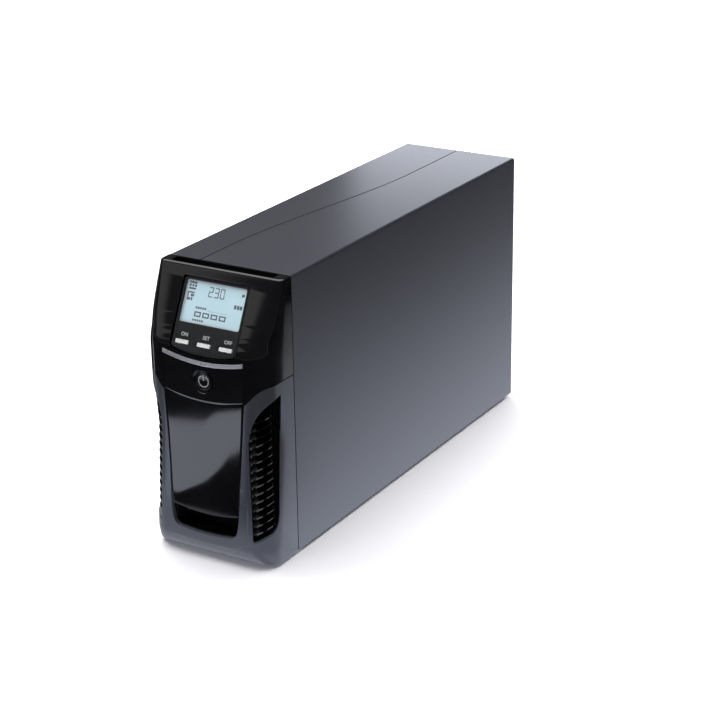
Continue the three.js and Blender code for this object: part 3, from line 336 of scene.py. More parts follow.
def placed(piece, matrix=None):
    """Moves a mesh drawn in case millimetres to its place in the frame, with its object at the origin."""
    to_frame = Matrix.Translation(CASE_ORIGIN) @ Matrix.Scale(MM, 4)
    piece.data.transform(to_frame @ (matrix or Matrix.Identity(4)))
    piece.data.update()
    return piece


def ring_body(name, rings):
    """Closed body through rings of points that all have the same count.

    It starts as a cylinder that is cut into levels, and each level takes the shape of its ring."""
    count, levels = len(rings[0]), len(rings)
    select_none()
    bpy.ops.mesh.primitive_cylinder_add(
        vertices=count, radius=1, depth=levels - 1, location=(0, 0, (levels - 1) / 2), end_fill_type="NGON")
    body = bpy.context.object
    body.name = name
    bpy.ops.object.transform_apply()
    if levels > 2:
        cut_levels(body, levels - 2)
    for vertex in body.data.vertices:
        level = round(vertex.co.z)
        place = round(math.atan2(vertex.co.x, vertex.co.y) / (2 * math.pi) * count) % count
        vertex.co = rings[level][place]
    outward(body)
    return body


def cut_levels(body, cuts):
    """Cuts the upright edges of a cylinder into equal lengths."""
    bpy.ops.object.mode_set(mode="EDIT")
    bpy.ops.mesh.select_mode(type="EDGE")
    bpy.ops.mesh.select_all(action="DESELECT")
    bpy.ops.object.mode_set(mode="OBJECT")
    for edge in body.data.edges:
        foot, head = (body.data.vertices[v].co.z for v in edge.vertices)
        edge.select = abs(head - foot) > 0.5
    bpy.ops.object.mode_set(mode="EDIT")
    bpy.ops.mesh.subdivide(number_cuts=cuts)
    bpy.ops.object.mode_set(mode="OBJECT")


def sheet_body(name, columns, rows, place, thickness):
    """Plate from a grid: place(s, t) gives the point for s across and t up, each from 0 to 1."""
    select_none()
    bpy.ops.mesh.primitive_grid_add(
        x_subdivisions=columns, y_subdivisions=rows, size=1, location=(0.5, 0.5, 0))
    sheet = bpy.context.object
    sheet.name = name
    bpy.ops.object.transform_apply()
    for vertex in sheet.data.vertices:
        vertex.co = place(vertex.co.x, vertex.co.y)
    sheet.data.update()
    if sheet.data.polygons[0].normal.y > 0:
        edit_all(sheet, (bpy.ops.mesh.flip_normals, {}))
    return apply_modifier(sheet, "SOLIDIFY", thickness=thickness, offset=-1)


def turned(name, profile, x, z, count=48):
    """Round body about a line along y, from a profile of (y, radius)."""
    turns = [2 * math.pi * i / count for i in range(count)]
    return ring_body(name, [
        [(x + radius * math.sin(turn), y, z + radius * math.cos(turn)) for turn in turns]
        for y, radius in profile])


def slab(name, outline, y0, y1):
    """Straight body with an (x, z) outline between two depths."""
    return ring_body(name, [[(x, y, z) for x, z in outline] for y in (y0, y1)])


def rectangle(x0, x1, z0, z1):
    return [(x0, z0), (x1, z0), (x1, z1), (x0, z1)]


def rounded_rectangle(x0, x1, z0, z1, radius):
    steps = 5
    points = []
    corners = [(x1 - radius, z0 + radius, -90), (x1 - radius, z1 - radius, 0),
               (x0 + radius, z1 - radius, 90), (x0 + radius, z0 + radius, 180)]
    for x, z, start in corners:
        for i in range(steps + 1):
            turn = math.radians(start + 90 * i / steps)
            points.append((x + radius * math.cos(turn), z + radius * math.sin(turn)))
    return points


def chamfered(outline, width):
    """Outline with its corners cut off, a width back along both sides."""
    points = []
    for i, corner in enumerate(outline):
        for other in (outline[i - 1], outline[(i + 1) % len(outline)]):
            back = (Vector(other) - Vector(corner)).normalized() * width
            points.append(tuple(Vector(corner) + back))
    return points


def grown(outline, margin):
    """Closed outline moved outwards by a margin."""
    area = sum(a[0] * b[1] - b[0] * a[1] for a, b in zip(outline, outline[1:] + outline[:1]))
    side = 1 if area > 0 else -1
    points = []
    for i, point in enumerate(outline):
        before, after = outline[i - 1], outline[(i + 1) % len(outline)]
        along = Vector((after[0] - before[0], after[1] - before[1])).normalized()
        points.append((point[0] + side * along.y * margin, point[1] - side * along.x * margin))
    return points


def round_cutter(name, outline, surface, deep, radius):
    """Cutter for an opening whose rim is rounded where it meets a surface.

    surface(u, v, depth) gives the point behind the surface."""
    steps = 4
    levels = [(radius, -8), (radius, -radius)]
    for i in range(steps + 1):
        turn = math.pi / 2 * (1 - i / steps)
        levels.append((radius * (1 - math.cos(turn)), radius * (1 - math.sin(turn))))
    levels.append((0, deep))
    return ring_body(name, [
        [surface(u, v, depth) for u, v in grown(outline, margin)] for margin, depth in levels])


def copied(node, name):
    """Merged copy of a CAD node with its flat faces made whole."""
    source = frame["nodes"][node]
    copy = bpy.data.objects.new(name, source.data.copy())
    bpy.context.scene.collection.objects.link(copy)
    copy.data.materials.clear()
    edit_all(
        copy, (bpy.ops.mesh.remove_doubles, {"threshold": 1e-6}),
        (bpy.ops.mesh.dissolve_limited, {"angle_limit": math.radians(0.4)}))
    return copy


def body_of(node):
    return next(b for b, members in frame["record"]["behaviour"]["bodies"].items() if node in members)


def slot_of(node):
    return next(part["material_slot"] for part in frame["record"]["subparts"] if part["node"] == node)


def kept(piece, material, body, slot, *nodes):
    """Gives a finished piece its material, hangs it on its body's empty and hides the nodes it replaces."""
    piece.data.materials.clear()
    piece.data.materials.append(material)
    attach(piece, body)
    if nodes:
        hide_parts(*nodes)
    return piece


def eased(node, name, material, width, segments=2):
    """Copy of a CAD node with its edges rounded, in the node's place. The width is in millimetres."""
    piece = copied(node, name)
    bevelled(piece, width * MM, segments)
    smoothed(piece)
    apply_modifier(piece, "WEIGHTED_NORMAL", keep_sharp=True)
    return kept(piece, material, body_of(node), slot_of(node), node)


# ------------------------------------------------------------------ finishes

class Finish:
    """Node material of one finish, whose colour, roughness and relief vary over the piece."""

    def __init__(self, name, colour, roughness, metallic=0.0, specular=0.5):
        self.material = bpy.data.materials.new(name)
        self.material.use_nodes = True
        self.nodes = self.material.node_tree.nodes
        self.links = self.material.node_tree.links
        self.surface = self.nodes["Principled BSDF"]
        self.surface.inputs["Base Color"].default_value = (*colour, 1)
        self.surface.inputs["Roughness"].default_value = roughness
        self.surface.inputs["Metallic"].default_value = metallic
        self.surface.inputs["Specular IOR Level"].default_value = specular
        self.colour = colour
        self.roughness = roughness
        self.places = self.nodes.new("ShaderNodeTexCoord")
        self.relief = None

    def stretched(self, scale):
        mapping = self.nodes.new("ShaderNodeMapping")
        mapping.inputs["Scale"].default_value = scale
        self.links.new(self.places.outputs["Object"], mapping.inputs["Vector"])
        return mapping.outputs["Vector"]

    def noise(self, scale, detail=3.0, stretch=(1, 1, 1)):
        texture = self.nodes.new("ShaderNodeTexNoise")
        texture.inputs["Scale"].default_value = scale
        texture.inputs["Detail"].default_value = detail
        self.links.new(self.stretched(stretch), texture.inputs["Vector"])
        return texture.outputs["Fac"]

    def ranged(self, value, low, high, start=0.3, end=0.7):
        span = self.nodes.new("ShaderNodeMapRange")
        span.inputs["From Min"].default_value = start
        span.inputs["From Max"].default_value = end
        span.inputs["To Min"].default_value = low
        span.inputs["To Max"].default_value = high
        self.links.new(value, span.inputs["Value"])
        return span.outputs["Result"]

    def vary_colour(self, amount, scale, stretch=(1, 1, 1)):
        mix = self.nodes.new("ShaderNodeMix")
        mix.data_type = "RGBA"
        mix.inputs["A"].default_value = (*[c * (1 - amount) for c in self.colour], 1)
        mix.inputs["B"].default_value = (*[min(c * (1 + amount), 1) for c in self.colour], 1)
        self.links.new(self.ranged(self.noise(scale, 4, stretch), 0, 1), mix.inputs["Factor"])
        self.links.new(mix.outputs["Result"], self.surface.inputs["Base Color"])
        return self

    def vary_roughness(self, amount, scale, stretch=(1, 1, 1)):
        low, high = max(self.roughness - amount, 0.02), min(self.roughness + amount, 1)
        self.links.new(
            self.ranged(self.noise(scale, 5, stretch), low, high), self.surface.inputs["Roughness"])
        return self

    def grain(self, scale, height, strength=0.5, stretch=(1, 1, 1), detail=2.0):
        bump = self.nodes.new("ShaderNodeBump")
        bump.inputs["Distance"].default_value = height
        bump.inputs["Strength"].default_value = strength
        self.links.new(self.noise(scale, detail, stretch), bump.inputs["Height"])
        if self.relief:
            self.links.new(self.relief, bump.inputs["Normal"])
        self.relief = bump.outputs["Normal"]
        self.links.new(self.relief, self.surface.inputs["Normal"])
        return self

    def coated(self, weight, roughness):
        self.surface.inputs["Coat Weight"].default_value = weight
        self.surface.inputs["Coat Roughness"].default_value = roughness
        return self

    def glowing(self, colour, strength):
        self.surface.inputs["Emission Color"].default_value = (*colour, 1)
        self.surface.inputs["Emission Strength"].default_value = strength
        return self


def case_paint(colour):
    return Finish("case_paint", colour, 0.34, 0.7).vary_colour(0.07, 900).vary_roughness(
        0.015, 400).grain(1500, 0.00003, 0.3).coated(0.1, 0.3).material


def bezel_paint(colour):
    return Finish("bezel_paint", colour, 0.32, 0.6).vary_colour(0.06, 1200).vary_roughness(
        0.015, 400).grain(1800, 0.00002, 0.3).material


def gloss_black(colour):
    return Finish("gloss_black", colour, 0.07, 0.0, 0.45).vary_colour(0.3, 30).vary_roughness(
        0.025, 18).grain(40, 0.00001, 0.15).material


def satin_black(colour):
    return Finish("satin_black", colour, 0.34, 0.0, 0.45).vary_colour(0.15, 300).vary_roughness(
        0.06, 120).grain(2200, 0.00003, 0.4).material


def matte_black(colour):
    return Finish("matte_black", colour, 0.62, 0.0, 0.35).vary_colour(0.2, 200).vary_roughness(
        0.08, 150).grain(1700, 0.00005, 0.5).material


def vent_black():
    return Finish("vent_black", (0.002, 0.002, 0.002), 0.85, 0.0, 0.08).vary_colour(0.3, 200).vary_roughness(
        0.06, 150).grain(1500, 0.00005, 0.4).material


def moulded_grey(name, colour):
    return Finish(name, colour, 0.5).vary_colour(0.08, 250).vary_roughness(0.08, 140).grain(
        1600, 0.00005, 0.5).material


def trim_silver(colour):
    return Finish("trim_silver", colour, 0.3, 0.6).vary_colour(0.05, 700).vary_roughness(
        0.05, 90).grain(1500, 0.00001, 0.3).coated(0.4, 0.15).material


def key_white(colour):
    return Finish("key_white", colour, 0.42).vary_colour(0.03, 500).vary_roughness(0.05, 200).grain(
        1800, 0.00002, 0.4).material


def lens_clear():
    finish = Finish("lens_clear", (0.9, 0.95, 0.97), 0.04, 0.0, 0.5)
    finish.vary_roughness(0.02, 30).grain(30, 0.000005, 0.1)
    finish.surface.inputs["Alpha"].default_value = 0.1
    return finish.material


def lcd_glow(colour, glow):
    """Backlit display glass."""
    finish = Finish("lcd_glow", colour, 0.22)
    finish.vary_colour(0.05, 25).grain(900, 0.000005, 0.2)
    return finish.glowing(colour, glow).material


def circuit_green():
    return Finish("circuit_green", (0.012, 0.11, 0.045), 0.35).vary_colour(
        0.35, 260, (1, 0.2, 1)).vary_roughness(0.1, 300).grain(500, 0.00008, 0.6).coated(0.4, 0.2).material


def sheet_zinc():
    return Finish("sheet_zinc", (0.45, 0.47, 0.5), 0.36, 0.9).vary_colour(0.14, 55).vary_roughness(
        0.12, 40).grain(260, 0.00003, 0.4, (1, 0.05, 1)).material


def plated_steel():
    return Finish("plated_steel", (0.58, 0.59, 0.6), 0.26, 1.0).vary_colour(0.06, 400).vary_roughness(
        0.08, 260).grain(900, 0.00001, 0.4).material


def contact_brass():
    return Finish("contact_brass", (0.66, 0.48, 0.2), 0.28, 1.0).vary_colour(0.1, 300).vary_roughness(
        0.08, 250).grain(800, 0.00001, 0.4).material


def foot_rubber():
    return Finish("foot_rubber", (0.014, 0.014, 0.015), 0.85, 0.0, 0.3).vary_colour(0.25, 200).vary_roughness(
        0.08, 120).grain(700, 0.0001, 0.7).material


def lead_sleeve(name, colour):
    return Finish(name, colour, 0.4).vary_colour(0.08, 120).vary_roughness(0.06, 150).grain(
        500, 0.00003, 0.4).material


def ribbed_aluminium():
    return Finish("ribbed_aluminium", (0.56, 0.57, 0.58), 0.34, 1.0).vary_colour(0.06, 80).vary_roughness(
        0.1, 60).grain(700, 0.00003, 0.5, (1, 0.03, 1)).material


def laminated_iron():
    along = (1, 0.02, 0.02)
    return Finish("laminated_iron", (0.14, 0.14, 0.145), 0.5, 0.7).vary_colour(
        0.25, 900, along).vary_roughness(0.1, 90).grain(1400, 0.0001, 0.8, along).material


def coil_varnish():
    return Finish("coil_varnish", (0.32, 0.15, 0.035), 0.3).vary_colour(0.25, 40).vary_roughness(
        0.1, 90).grain(900, 0.00015, 0.8, (0.03, 0.03, 1)).coated(0.5, 0.15).material


def ribbon_sleeve():
    along = (1, 0.02, 0.02)
    return Finish("ribbon_sleeve", (0.42, 0.43, 0.45), 0.5).vary_colour(0.12, 500, along).vary_roughness(
        0.06, 120).grain(800, 0.0002, 0.8, along).material


def ink(name, colour):
    return Finish(name, colour, 0.5).vary_colour(0.08, 400).grain(900, 0.00001, 0.2).material


# ------------------------------------------------------------------ what a user may change

class PowerSupplySizes(bpy.types.PropertyGroup):
    """Sizes of the finished surfaces, in metres."""

    rim: FloatProperty(
        name="Rim rounding", description="Radius on the rims of the bezels' openings",
        default=0.0006, min=0.0001, max=0.002, unit="LENGTH", precision=5)
    edge: FloatProperty(
        name="Edge rounding", description="Rounding on the edges of small mouldings",
        default=0.0003, min=0.0001, max=0.001, unit="LENGTH", precision=5)
    fold: FloatProperty(
        name="Sheet edge", description="Rounding on the cut edges of the sheet metal",
        default=0.0002, min=0.0001, max=0.0005, unit="LENGTH", precision=5)
    level: FloatProperty(
        name="Level step", description="Height between the bezels' levels",
        default=0.002, min=0.0005, max=0.01, unit="LENGTH", precision=4)
    wire: FloatProperty(
        name="Guard wire", description="Radius of the fan guard's wire",
        default=0.0008, min=0.0004, max=0.0012, unit="LENGTH", precision=5)
    reading: StringProperty(
        name="Reading", description="Number that the display shows", default="230", maxlen=3)


class PowerSupplyColours(bpy.types.PropertyGroup):
    """Colours of the finishes."""

    paint: FloatVectorProperty(
        name="Case paint", description="Satin metallic paint of the covers and the rear panel",
        default=(0.085, 0.092, 0.112), size=3, min=0, max=1, subtype="COLOR")
    bezel: FloatVectorProperty(
        name="Bezel paint", description="Satin paint of the lower bezel",
        default=(0.1, 0.108, 0.13), size=3, min=0, max=1, subtype="COLOR")
    gloss: FloatVectorProperty(
        name="Gloss black", description="Upper bezel, button band and door",
        default=(0.004, 0.004, 0.005), size=3, min=0, max=1, subtype="COLOR")
    satin: FloatVectorProperty(
        name="Satin black", description="Display panel and the rear mouldings",
        default=(0.012, 0.013, 0.014), size=3, min=0, max=1, subtype="COLOR")
    matte: FloatVectorProperty(
        name="Matte black", description="Louvres, liner and front frame",
        default=(0.007, 0.007, 0.008), size=3, min=0, max=1, subtype="COLOR")
    trim: FloatVectorProperty(
        name="Trim", description="Silver arc under the display",
        default=(0.52, 0.52, 0.56), size=3, min=0, max=1, subtype="COLOR")
    display: FloatVectorProperty(
        name="Display", description="Backlit glass of the display",
        default=(0.42, 0.6, 0.66), size=3, min=0, max=1, subtype="COLOR")


FINISHES = {}


def sizes():
    return bpy.context.scene.power_supply_sizes


def colours():
    return bpy.context.scene.power_supply_colours


def make_finishes():
    chosen = colours()
    FINISHES.update({
        "case_paint": case_paint(chosen.paint),
        "bezel_grey": bezel_paint(chosen.bezel),
        "gloss_black": gloss_black(chosen.gloss),
        "satin_black": satin_black(chosen.satin),
        "matte_black": matte_black(chosen.matte),
        "dark_plastic": moulded_grey("dark_plastic", (0.035, 0.037, 0.04)),
        "trim_silver": trim_silver(chosen.trim),
        "key_white": key_white((0.86, 0.86, 0.84)),
        "clear_lens": lens_clear(),
        "lcd_glass": lcd_glow(chosen.display, 0.35),
        "circuit_board": circuit_green(),
        "zinc_steel": sheet_zinc(),
        "foot_rubber": foot_rubber(),
        "battery_case": moulded_grey("battery_case", (0.05, 0.053, 0.058)),
        "lead_red": lead_sleeve("lead_red", (0.42, 0.012, 0.01)),
        "heatsink_aluminium": ribbed_aluminium(),
        "core_iron": laminated_iron(),
        "coil_wrap": coil_varnish(),
        "ribbon_grey": ribbon_sleeve(),
        "plated": plated_steel(),
        "brass": contact_brass(),
        "label": ink("label_ink", (0.5, 0.51, 0.52)),
        "mark": ink("mark_ink", (0.012, 0.014, 0.05)),
        "border": ink("border_white", (0.7, 0.76, 0.8)),
        "symbol": ink("symbol_ink", (0.36, 0.36, 0.37)),
        "fin": satin_black((0.1, 0.1, 0.105)),
        "vent": vent_black(),
    })


class Build(bpy.types.Operator):
    """Base of the operators that make one piece or a group of like pieces."""

    bl_options = {"REGISTER", "UNDO"}


class UPS_OT_finishes(Build):
    """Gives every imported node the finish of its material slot"""

    bl_idname = "power_supply.finishes"
    bl_label = "Finishes"

    def execute(self, context):
        make_finishes()
        for name, node in frame["nodes"].items():
            node.data.materials.clear()
            node.data.materials.append(FINISHES[slot_of(name)])
        return {"FINISHED"}


# ------------------------------------------------------------------ case

class UPS_OT_covers(Build):
    """Folded left and right covers, with their cut edges eased"""

    bl_idname = "power_supply.covers"
    bl_label = "Covers"

    def execute(self, context):
        for side in ("left", "right"):
            eased(f"{side}_cover", f"{side}_cover_skin", FINISHES["case_paint"], sizes().fold / MM)
        return {"FINISHED"}


class UPS_OT_feet(Build):
    """Round rubber feet with a domed tread"""

    bl_idname = "power_supply.feet"
    bl_label = "Feet"

    def execute(self, context):
        for node in sorted(n for n in frame["nodes"] if n.endswith("_foot")):
            eased(node, f"{node}_pad", FINISHES["foot_rubber"], 0.5, 3)
        return {"FINISHED"}


# ------------------------------------------------------------------ bezels

def bezel_form(name, low, high, inset, rear, round_foot=0.0, round_top=0.0):
    """Closed body of the bezels' form between two levels, its foot or its sloping top edge rounded."""
    step = sizes().level / MM
    count = math.ceil((high - low - round_foot - round_top) / step)
    arc_steps = 5
    levels = []
    for i in range(arc_steps if round_foot else 0):
        turn = math.pi / 2 * i / arc_steps
        levels.append((low + round_foot * (1 - math.cos(turn)), inset + round_foot * (1 - math.sin(turn))))
    start, end = low + round_foot, high - round_top
    levels += [(start + (end - start) * i / count, inset) for i in range(count + 1)]
    for i in range(1, arc_steps + 1 if round_top else 0):
        turn = math.pi / 2 * i / arc_steps
        levels.append((end + round_top * math.sin(turn), inset + round_top * (1 - math.cos(turn))))
    rings = []
    for z, level_inset in levels:
        ring = form_ring(z, level_inset, rear)
        lean = min(max((z - CASE_HEIGHT + 15) / 15, 0), 1)
        rings.append([(x, y, h + lean * ROOF_SLOPE * (y - BEZEL_REAR)) for x, y, h in ring])
    return ring_body(name, rings)


def hollow_form(name, low, high):
    return bezel_form(name, low, high, SKIN, BEZEL_REAR + 5)


def split_outline(shift):
    """Height of the two bezels' joint across the whole front, from left to right."""
    half = [BAND_HALF + FIT + (CHEEK - FIT) * i / 8 for i in range(9)]
    right = [(x, split_height(x) + shift) for x in half]
    return [(-x, z) for x, z in reversed(right)], right


def front_point(x, z, depth):
    """Point at a depth behind the bezels' front, which is level across the middle."""
    return (x, -front_depth(z) + depth, z)


DISPLAY = (Matrix.Translation((0, -head_depth(PANEL_FOOT) + PANEL_SUNK, PANEL_FOOT))
           @ Matrix.Rotation(-HEAD_TILT, 4, "X"))


def display_point(x, z, depth):
    """Point at a depth behind the head's leaning face, x across and z up the slope."""
    return tuple(DISPLAY @ Vector((x, depth - PANEL_SUNK * math.cos(HEAD_TILT), z)))


def display_outline(margin):
    half, top, corner = PANEL_WIDTH / 2 + margin, PANEL_HEIGHT + margin, 3
    points = [(half, 2 - margin), (half, top - corner)]
    for centre, start in ((half - corner, 0), (corner - half, 90)):
        for i in range(1, 7):
            turn = math.radians(start + 15 * i)
            points.append((centre + corner * math.cos(turn), top - corner + corner * math.sin(turn)))
    points.append((-half, 2 - margin))
    points += quadratic(points[-1], (1 - half, -margin), (4 - half, -margin - 0.8), 3)
    points += quadratic(points[-1], (0, -margin - 6), (half - 4, -margin - 0.8), 16)
    points += quadratic(points[-1], (half - 1, -margin), (half, 2 - margin), 3)[:-1]
    return points


class UPS_OT_upper_bezel(Build):
    """Gloss black upper bezel: leaning head with the display window, channel and cheeks"""

    bl_idname = "power_supply.upper_bezel"
    bl_label = "Upper bezel"

    def execute(self, context):
        rim = sizes().rim / MM
        bezel = bezel_form("upper_bezel_shell", BAND_BOTTOM - 4, CASE_HEIGHT, 0, BEZEL_REAR, 0, 1.3)
        combined(bezel, hollow_form("hollow", BAND_BOTTOM - 12, CASE_HEIGHT - ROOF), "DIFFERENCE")
        left, right = split_outline(0)
        half = BAND_HALF + FIT
        arc = [(half * i / 12, arc_height(half * i / 12, ARC_TOP + FIT)) for i in range(-12, 13)]
        foot = BAND_BOTTOM - 20
        below = [(-PAST_SIDE, foot), (-PAST_SIDE, SPLIT_HEIGHT), *left, *arc, *right,
                 (PAST_SIDE, SPLIT_HEIGHT), (PAST_SIDE, foot)]
        combined(bezel, slab("below", below, PAST_FRONT, PAST_REAR), "DIFFERENCE")
        channel = rounded_rectangle(-CHANNEL_HALF, CHANNEL_HALF, -CHANNEL_FRONT, 6, 1.5)
        roof = CASE_HEIGHT - ROOF_SLOPE * CHANNEL_FRONT / 2
        combined(bezel, round_cutter(
            "channel", channel, lambda x, y, depth: (x, y, roof - depth), CHANNEL_DEPTH + 0.8, 0.5),
            "DIFFERENCE")
        combined(bezel, round_cutter(
            "window", display_outline(PANEL_GAP), display_point, 14, rim), "DIFFERENCE")
        placed(bezel)
        smoothed(bezel)
        kept(bezel, FINISHES["gloss_black"], "root", "gloss_black", "upper_bezel")
        return {"FINISHED"}


def opening_outline(margin):
    """Door opening with the finger recess below it."""
    top, upper, lower = BAND_BOTTOM + 8, door_half(BAND_BOTTOM) + margin, door_half(DOOR_BOTTOM) + margin
    floor, foot = RECESS_FLOOR - margin, lower - 2.5
    sag = dip(foot - RECESS_CORNER)
    turn = (foot + 1, floor + RECESS_CORNER)
    right = [(lower, DOOR_BOTTOM)]
    right += quadratic((lower, DOOR_BOTTOM), (lower, DOOR_BOTTOM - 6), turn)
    right += quadratic(turn, (foot, floor), (foot - RECESS_CORNER, floor))
    middle = quadratic((foot - RECESS_CORNER, floor), (0, floor - 2 * sag), (RECESS_CORNER - foot, floor), 16)
    left = [(-x, z) for x, z in reversed(right)]
    return [(upper, top), (upper, BAND_BOTTOM), *right, *middle, *left[1:],
            (-upper, BAND_BOTTOM), (-upper, top)]


VENT_ALONG = Vector((math.sqrt(0.5), math.sqrt(0.5)))
VENT_OUT = Vector((math.sqrt(0.5), -math.sqrt(0.5)))
VENT_START = (HALF_WIDTH - CHEEK * VENT_EDGE - BULGE + 4.4) * math.sqrt(0.5)


def vent_outline(margin):
    """Outline of a louvre opening, in distance back along the corner and height."""
    low, rear = VENT_BOTTOM - margin, VENT_LENGTH + margin
    points = [(-margin, low + 2)]
    points += quadratic(points[-1], (-margin, low), (2, low), 4)
    points.append((rear - 12, low + 5))
    points += quadratic(points[-1], (rear - 5, low + 8), (rear - 4, low + 20), 6)
    points += [(rear, VENT_TIP - 20), (rear + 1, VENT_TIP + margin)]
    points += quadratic(points[-1], (1 - margin, VENT_TIP - 6 + margin), (-margin, VENT_TIP - 42), 12)
    return points


def corner_reach(along, z):
    """How far out the bezel's corner lies at a distance back along it."""
    ring = [Vector((x, y)) for x, y, _ in form_ring(z) if x > 0]
    spans = sorted((p.dot(VENT_ALONG) - VENT_START, p.dot(VENT_OUT)) for p in ring)
    for (a, out_a), (b, out_b) in zip(spans, spans[1:]):
        if a <= along <= b:
            return out_a + (out_b - out_a) * (along - a) / (b - a)
    return spans[0][1] if along < spans[0][0] else spans[-1][1]


def vent_point(along, z, depth):
    """Point at a depth behind the right corner's surface."""
    spot = VENT_ALONG * (VENT_START + along) + VENT_OUT * (corner_reach(along, z) - depth)
    return (spot.x, spot.y, z)


class UPS_OT_lower_bezel(Build):
    """Painted lower bezel with the door opening, louvre openings and a raised ridge round the recess"""

    bl_idname = "power_supply.lower_bezel"
    bl_label = "Lower bezel"

    def execute(self, context):
        rim = sizes().rim / MM
        bezel = bezel_form("lower_bezel_shell", 0, SPLIT_HEIGHT + 4, 0, BEZEL_REAR, 1.2)
        combined(bezel, self.ridge(), "UNION")
        combined(bezel, hollow_form("hollow", SKIN, SPLIT_HEIGHT + 12), "DIFFERENCE")
        left, right = split_outline(-SPLIT_GAP)
        top = SPLIT_HEIGHT - SPLIT_GAP
        above = [(-PAST_SIDE, top), *left, (-BAND_HALF, BAND_BOTTOM - SPLIT_GAP),
                 (BAND_HALF, BAND_BOTTOM - SPLIT_GAP), *right, (PAST_SIDE, top),
                 (PAST_SIDE, SPLIT_HEIGHT + 20), (-PAST_SIDE, SPLIT_HEIGHT + 20)]
        combined(bezel, slab("above", above, PAST_FRONT, PAST_REAR), "DIFFERENCE")
        opening = opening_outline(FIT + 0.1)
        combined(bezel, round_cutter("opening", opening, front_point, 60, rim), "DIFFERENCE")
        for side in (-1, 1):
            def surface(along, z, depth, side=side):
                x, y, height = vent_point(along, z, depth)
                return (side * x, y, height)
            combined(bezel, round_cutter("vent", vent_outline(0), surface, 20, rim), "DIFFERENCE")
        placed(bezel)
        smoothed(bezel)
        kept(bezel, FINISHES["bezel_grey"], "root", "bezel_grey", "lower_bezel")
        return {"FINISHED"}

    def ridge(self):
        """Low raised field round the recess, its border sloping into the bezel."""
        half = BAND_HALF + 2
        floor = [(x, arc_height(x, 17)) for x in [(half - 10) * i / 8 for i in range(-8, 9)]]
        border = [*floor, (half - 5, 19.5), (half - 1.5, 24), (half, 31), (half, 84),
                  (-half, 84), (-half, 31), (1.5 - half, 24), (5 - half, 19.5)]
        rings = [[front_point(x, z, depth) for x, z in grown(border, margin)]
                 for depth, margin in ((3, 1.2), (0.2, 1.2), (-RIDGE, 0.1), (-4, -0.2))]
        body = ring_body("ridge_border", rings)
        step = sizes().level / MM
        levels = [4 + step * i for i in range(int(90 / step))]
        field = ring_body("ridge_field", [
            form_ring(z, -RIDGE * (1 - smooth_step(z, 30, 80)), BEZEL_REAR) for z in levels])
        return combined(body, field, "INTERSECT")


class UPS_OT_louvres(Build):
    """Louvres behind the corner openings: sloping fins that follow the bezel and pass a slotted plate"""

    bl_idname = "power_supply.louvres"
    bl_label = "Louvres"

    def execute(self, context):
        right = joined("right_louvre_fins", [self.fin(i) for i in range(FIN_COUNT)])
        combined(right, bezel_form("inside", 0, SPLIT_HEIGHT + 10, 1.0, BEZEL_REAR), "INTERSECT")
        bevelled(placed(right), 0.25 * MM, 2, 50)
        left = bpy.data.objects.new("left_louvre_fins", right.data.copy())
        bpy.context.scene.collection.objects.link(left)
        for vertex in left.data.vertices:
            vertex.co.x = -vertex.co.x
        outward(left)
        for name, fins in (("right_louvre", right), ("left_louvre", left)):
            kept(smoothed(fins), FINISHES["fin"], "root", slot_of(name))
            plate = smoothed(copied(name, f"{name}_plate"))
            kept(plate, FINISHES["vent"], "root", slot_of(name), name)
        return {"FINISHED"}

    def fin(self, index):
        """One slat, thin at its rear end."""
        z = FIN_START + index * FIN_PITCH
        outline = [(1, z), (FIN_RUN, z + FIN_RISE), (FIN_RUN + 0.4, z + FIN_RISE + 0.9), (1, z + 1.4)]
        rings = []
        for reach in (20, 34, 48, 62, 76):
            ring = []
            for along, height in outline:
                spot = VENT_ALONG * (VENT_START + along) + VENT_OUT * reach
                ring.append((spot.x, spot.y, height))
            rings.append(ring)
        return ring_body("fin", rings)


# ------------------------------------------------------------------ trim, band, power button, door, recess

class UPS_OT_front_trim(Build):
    """Silver arc under the display and the gloss band with the dished seat of the power button"""

    bl_idname = "power_supply.front_trim"
    bl_label = "Trim and button band"

    def execute(self, context):
        arc = self.strip("trim_arc_strip", BAND_TOP, ARC_TOP, 6, ARC_PROUD)
        bevelled(placed(arc), 0.5 * MM, 3, 50)
        smoothed(arc)
        apply_modifier(arc, "WEIGHTED_NORMAL", keep_sharp=True)
        kept(arc, FINISHES["trim_silver"], "root", "trim_silver", "trim_arc")
        band = self.strip("button_band_plate", BAND_BOTTOM, BAND_TOP - FIT, 20, 0)
        face = -front_depth(POWER_HEIGHT)
        dish = [(face - 6, DISH_RADIUS + 0.8), (face - 0.8, DISH_RADIUS + 0.8),
                (face + 0.1, DISH_RADIUS + 0.1), (face + 0.5, DISH_RADIUS - 0.3),
                (face + DISH_DEPTH, DISH_RADIUS - DISH_DEPTH),
                (face + DISH_DEPTH + 0.05, POWER_RADIUS + FIT), (face + 9, POWER_RADIUS + FIT)]
        combined(band, turned("dish", dish, 0, POWER_HEIGHT, 64), "DIFFERENCE")
        placed(band)
        bevelled(band, 0.6 * MM, 3, 60)
        smoothed(band)
        kept(band, FINISHES["gloss_black"], "root", "gloss_black", "button_band")
        return {"FINISHED"}

    def strip(self, name, low, high, rows, proud):
        def place(s, t):
            x = (2 * s - 1) * BAND_HALF
            z = arc_height(x, low + (high - low) * t)
            return (x, -front_depth(z) - proud * SKIN_LEAN, z)
        return sheet_body(name, 48, rows, place, SKIN)


